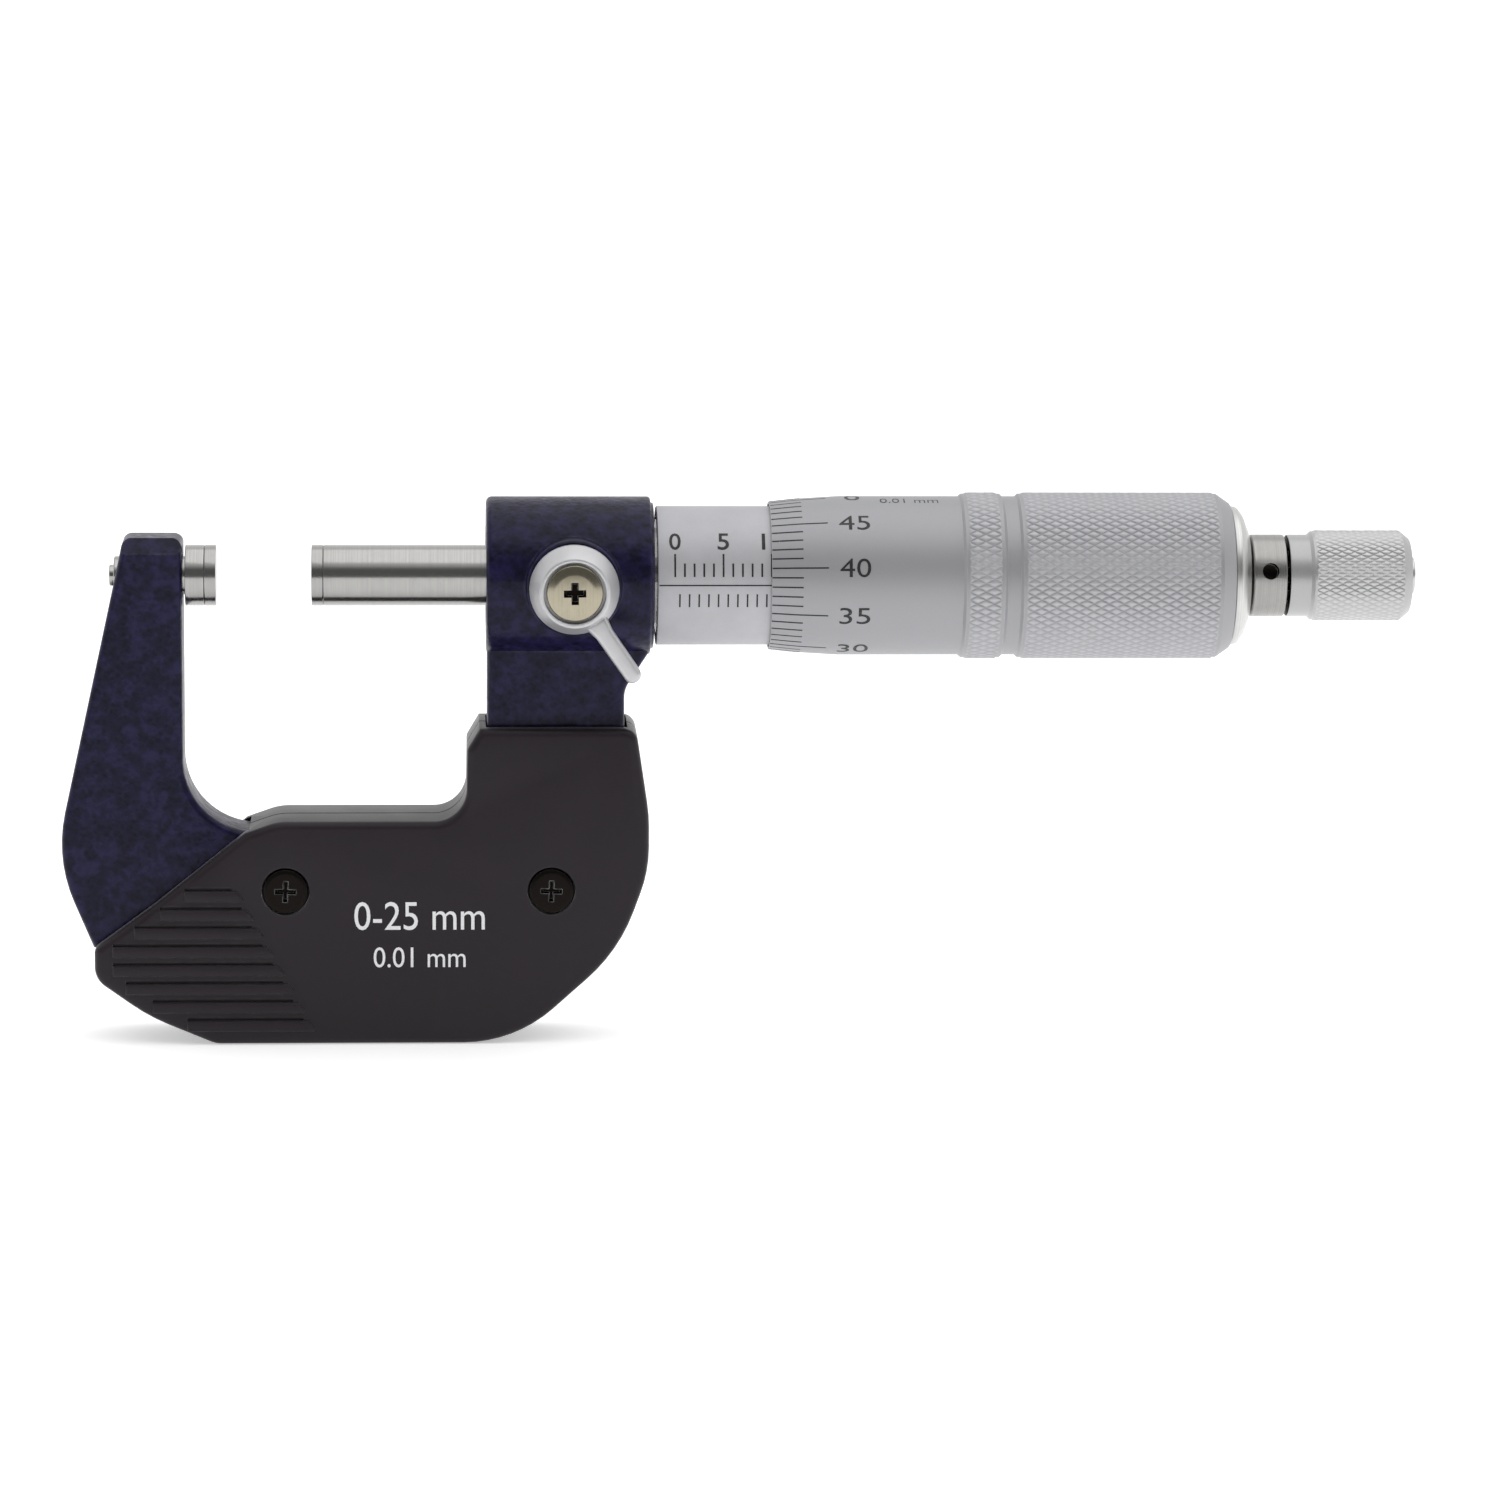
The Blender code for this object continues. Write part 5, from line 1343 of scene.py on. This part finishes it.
# --- lock -------------------------------------------------------------------------------
class MICROMETER_OT_lock(bpy.types.Operator):
    """Lock lever and the screw that holds it"""
    bl_idname = "micrometer.lock"
    bl_label = "Spindle Lock"

    def execute(self, context):
        seat_h = LEVER_H + 2.2 * MM
        lever = turned("lever_ring", [
            (LEVER_H, 2.4 * MM, 0.0), (LEVER_H, LEVER_R, 0.2 * MM),
            (LEVER_H + 0.7 * MM, LEVER_R, 0.3 * MM),
            (LEVER_TOP_H, LEVER_TOP_R + 0.1 * MM, 0.25 * MM),
            (LEVER_TOP_H, LEVER_POCKET_R, 0.1 * MM), (seat_h, LEVER_POCKET_R, 0.0),
            (seat_h, 1.3 * MM, 0.0), (seat_h - 0.8 * MM, 1.3 * MM, 0.0),
            (seat_h - 0.8 * MM, 2.4 * MM, 0.0)], closed=True, sides=FINE_SIDES)
        face_front(lever)
        arm = plate("lever_arm", [
            (3.75 * MM, -1.3 * MM, 0.0), (5.4 * MM, -0.95 * MM, 2.0 * MM),
            (LEVER_REACH, -0.88 * MM, 0.85 * MM), (LEVER_REACH, 0.88 * MM, 0.85 * MM),
            (5.4 * MM, 0.95 * MM, 2.0 * MM), (3.75 * MM, 1.3 * MM, 0.0)],
            -LEVER_H - 2.1 * MM, -LEVER_H - 0.5 * MM, math.radians(15.0))
        round_rims(arm, (-LEVER_H - 2.1 * MM, -LEVER_H - 0.5 * MM), 0.5 * MM, 5)
        arm.matrix_world = Matrix.Rotation(-LEVER_ANGLE, 4, "Y")
        settle(arm)
        combine(lever, arm, "UNION")
        lever.matrix_world = Matrix.Translation((LOCK_X, 0.0, 0.0))
        settle(lever)
        dress(lever, MATERIALS["lever"], "lever_body", ["lock_lever"])
        shank_h = -high("lock_lever_screw").y
        under = seat_h + 0.3 * MM
        screw = face_front(turned("lever_screw", [
            (shank_h, 0.0, 0.0), (shank_h, 1.0 * MM, 0.2 * MM), (under, 1.0 * MM, 0.0),
            (under, LEVER_HEAD_R, 0.05 * MM), (LEVER_HEAD_H - 0.35 * MM, LEVER_HEAD_R, 0.2 * MM),
            (LEVER_HEAD_H - 0.1 * MM, 0.7 * LEVER_HEAD_R, 1.5 * MM),
            (LEVER_HEAD_H, 0.0, 0.0)], sides=72, step=math.radians(6.0)))
        bit = cross("bit", 1.3 * MM, 0.85 * MM, -LEVER_HEAD_H - 0.5 * MM,
                    -LEVER_HEAD_H + 0.8 * MM)
        bit.matrix_world = Matrix.Rotation(math.radians(-1.0), 4, "Y")
        settle(bit)
        screw.data.materials.append(MATERIALS["nickel"])
        # The cross recess takes the dark recess_shadow finish: painted shade.
        combine(screw, bit, "DIFFERENCE", MATERIALS["recess"])
        screw.matrix_world = Matrix.Translation((LOCK_X, 0.0, 0.0))
        settle(screw)
        dress(screw, MATERIALS["nickel"], "lever_body", ["lock_lever_screw"])
        return {"FINISHED"}


class MICROMETER_OT_inner_parts(bpy.types.Operator):
    """Finishes of the inner parts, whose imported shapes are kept"""
    bl_idname = "micrometer.inner_parts"
    bl_label = "Inner Parts"

    def execute(self, context):
        # The ratchet clutch gets the dark recess_shadow finish: painted shade, not a colour of its
        # own.
        for node, material in (("stem", "steel"), ("thread_adjust_nut", "steel"),
                               ("ratchet_clutch", "recess"),
                               ("lock_bolt", "nickel"), ("lock_shoe", "brass")):
            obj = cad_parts[node]
            obj.data.materials.clear()
            obj.data.materials.append(MATERIALS[material])
        spring = bpy.data.objects.new("clutch_spring",
                                      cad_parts["ratchet_spring"].data.copy())
        context.scene.collection.objects.link(spring)
        spring.data.materials.clear()
        clean(spring)
        dress(spring, MATERIALS["steel"], "knob_body", replaces=["ratchet_spring"])
        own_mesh(spring)
        return {"FINISHED"}


# --- stage ------------------------------------------------------------------------------
CAMERA_PLACE = Vector((22.3 * MM, -633.216 * MM, 92.941 * MM))
CAMERA_YAW = math.radians(3.0217)
CAMERA_PITCH = math.radians(9.9709)
CAMERA_ROLL = math.radians(0.4436)


LIGHT_PLACE = Vector((0.35, -0.05, 0.95))
LIGHT_AIM = Vector((0.05, 0.0, -0.02))
LIGHT_SIZE = 1.4
SHADE_HEADING = (math.radians(50.0), math.radians(85.0))
SHADE_HEIGHT = (math.sin(math.radians(32.0)), math.sin(math.radians(56.0)))


def soft_light(name, power):
    data = bpy.data.lights.new(name, "AREA")
    data.shape = "SQUARE"
    data.size = LIGHT_SIZE
    data.energy = power
    light = bpy.data.objects.new(name, data)
    light.location = LIGHT_PLACE
    light.rotation_euler = (LIGHT_AIM - LIGHT_PLACE).to_track_quat("-Z", "Y").to_euler()
    bpy.context.scene.collection.objects.link(light)


def studio_world(bright, dark):
    """Even bright surroundings with a dark side towards the front, behind the camera."""
    world = bpy.data.worlds.new("studio")
    world.use_nodes = True
    tree = world.node_tree
    way = add(tree, "ShaderNodeSeparateXYZ",
              {0: add(tree, "ShaderNodeTexCoord").outputs["Generated"]}).outputs
    heading = math_node(tree, "ARCTAN2", way["X"],
                        math_node(tree, "MULTIPLY", way["Y"], -1.0))
    aside = ramp(tree, math_node(tree, "ABSOLUTE", heading), *SHADE_HEADING)
    above = ramp(tree, way["Z"], *SHADE_HEIGHT)
    lit = math_node(tree, "MAXIMUM", aside, above)
    back = tree.nodes["Background"]
    back.inputs["Color"].default_value = (1.0, 1.0, 1.0, 1.0)
    tree.links.new(ramp(tree, lit, 0.0, 1.0, dark, bright), back.inputs["Strength"])
    return world


class MICROMETER_OT_stage(bpy.types.Operator):
    """Pale floor, soft studio light and the camera"""
    bl_idname = "micrometer.stage"
    bl_label = "Stage"

    def execute(self, context):
        settings = context.scene.mic_stage
        bpy.ops.object.select_all(action="DESELECT")
        bpy.ops.mesh.primitive_plane_add(size=12.0, location=(0.0, 0.0, FLOOR_Z - HAIR))
        floor = context.object
        floor.name = "floor"
        settle(floor)
        material, tree, shader = new_material("pale_floor", settings.floor, 0.9, 0.0)
        place = add(tree, "ShaderNodeTexCoord").outputs["Object"]
        tree.links.new(mix(tree, noise(tree, place, 60.0), tuple(settings.floor),
                           darker(settings.floor, 0.99)), shader.inputs["Base Color"])
        shader.inputs["Emission Color"].default_value = (1.0, 1.0, 1.0, 1.0)
        shader.inputs["Emission Strength"].default_value = settings.glow
        floor.data.materials.append(material)
        soft_light("overhead", settings.key)
        context.scene.world = studio_world(settings.surround, settings.shade)
        data = bpy.data.cameras.new("camera")
        data.lens = settings.lens
        data.sensor_width = 36.0
        data.clip_start = 0.01
        camera = bpy.data.objects.new("camera", data)
        camera.matrix_world = (
            Matrix.Translation(CAMERA_PLACE)
            @ Matrix.Rotation(-CAMERA_YAW, 4, "Z")
            @ Matrix.Rotation(math.pi / 2 - CAMERA_PITCH, 4, "X")
            @ Matrix.Rotation(CAMERA_ROLL, 4, "Z"))
        context.scene.collection.objects.link(camera)
        context.scene.camera = camera
        context.scene.view_settings.view_transform = "Standard"
        return {"FINISHED"}


class MICROMETER_PT_sidebar(bpy.types.Panel):
    """Lists the pieces and their settings"""
    bl_idname = "MICROMETER_PT_sidebar"
    bl_label = "Outside Micrometer"
    bl_space_type = "VIEW_3D"
    bl_region_type = "UI"
    bl_category = "Micrometer"

    def draw(self, context):
        for operator in OPERATORS:
            self.layout.operator(operator.bl_idname)
        for name, settings in SETTINGS.items():
            box = self.layout.box()
            for key in settings.__annotations__:
                box.prop(getattr(context.scene, name), key)


OPERATORS = (
    MICROMETER_OT_frame,
    MICROMETER_OT_shields,
    MICROMETER_OT_shield_screws,
    MICROMETER_OT_measuring_faces,
    MICROMETER_OT_sleeve,
    MICROMETER_OT_thimble,
    MICROMETER_OT_ratchet,
    MICROMETER_OT_lock,
    MICROMETER_OT_inner_parts,
    MICROMETER_OT_stage,
)
CLASSES = (*SETTINGS.values(), *OPERATORS, MICROMETER_PT_sidebar)


def register():
    for cls in CLASSES:
        bpy.utils.register_class(cls)
    for name, settings in SETTINGS.items():
        setattr(bpy.types.Scene, name, bpy.props.PointerProperty(type=settings))


def unregister():
    for name in SETTINGS:
        delattr(bpy.types.Scene, name)
    for cls in reversed(CLASSES):
        bpy.utils.unregister_class(cls)


def main():
    register()
    build_materials(bpy.context.scene)
    for operator in OPERATORS:
        group_name, piece = operator.bl_idname.split(".")
        getattr(getattr(bpy.ops, group_name), piece)()


if __name__ == "__main__":
    main()
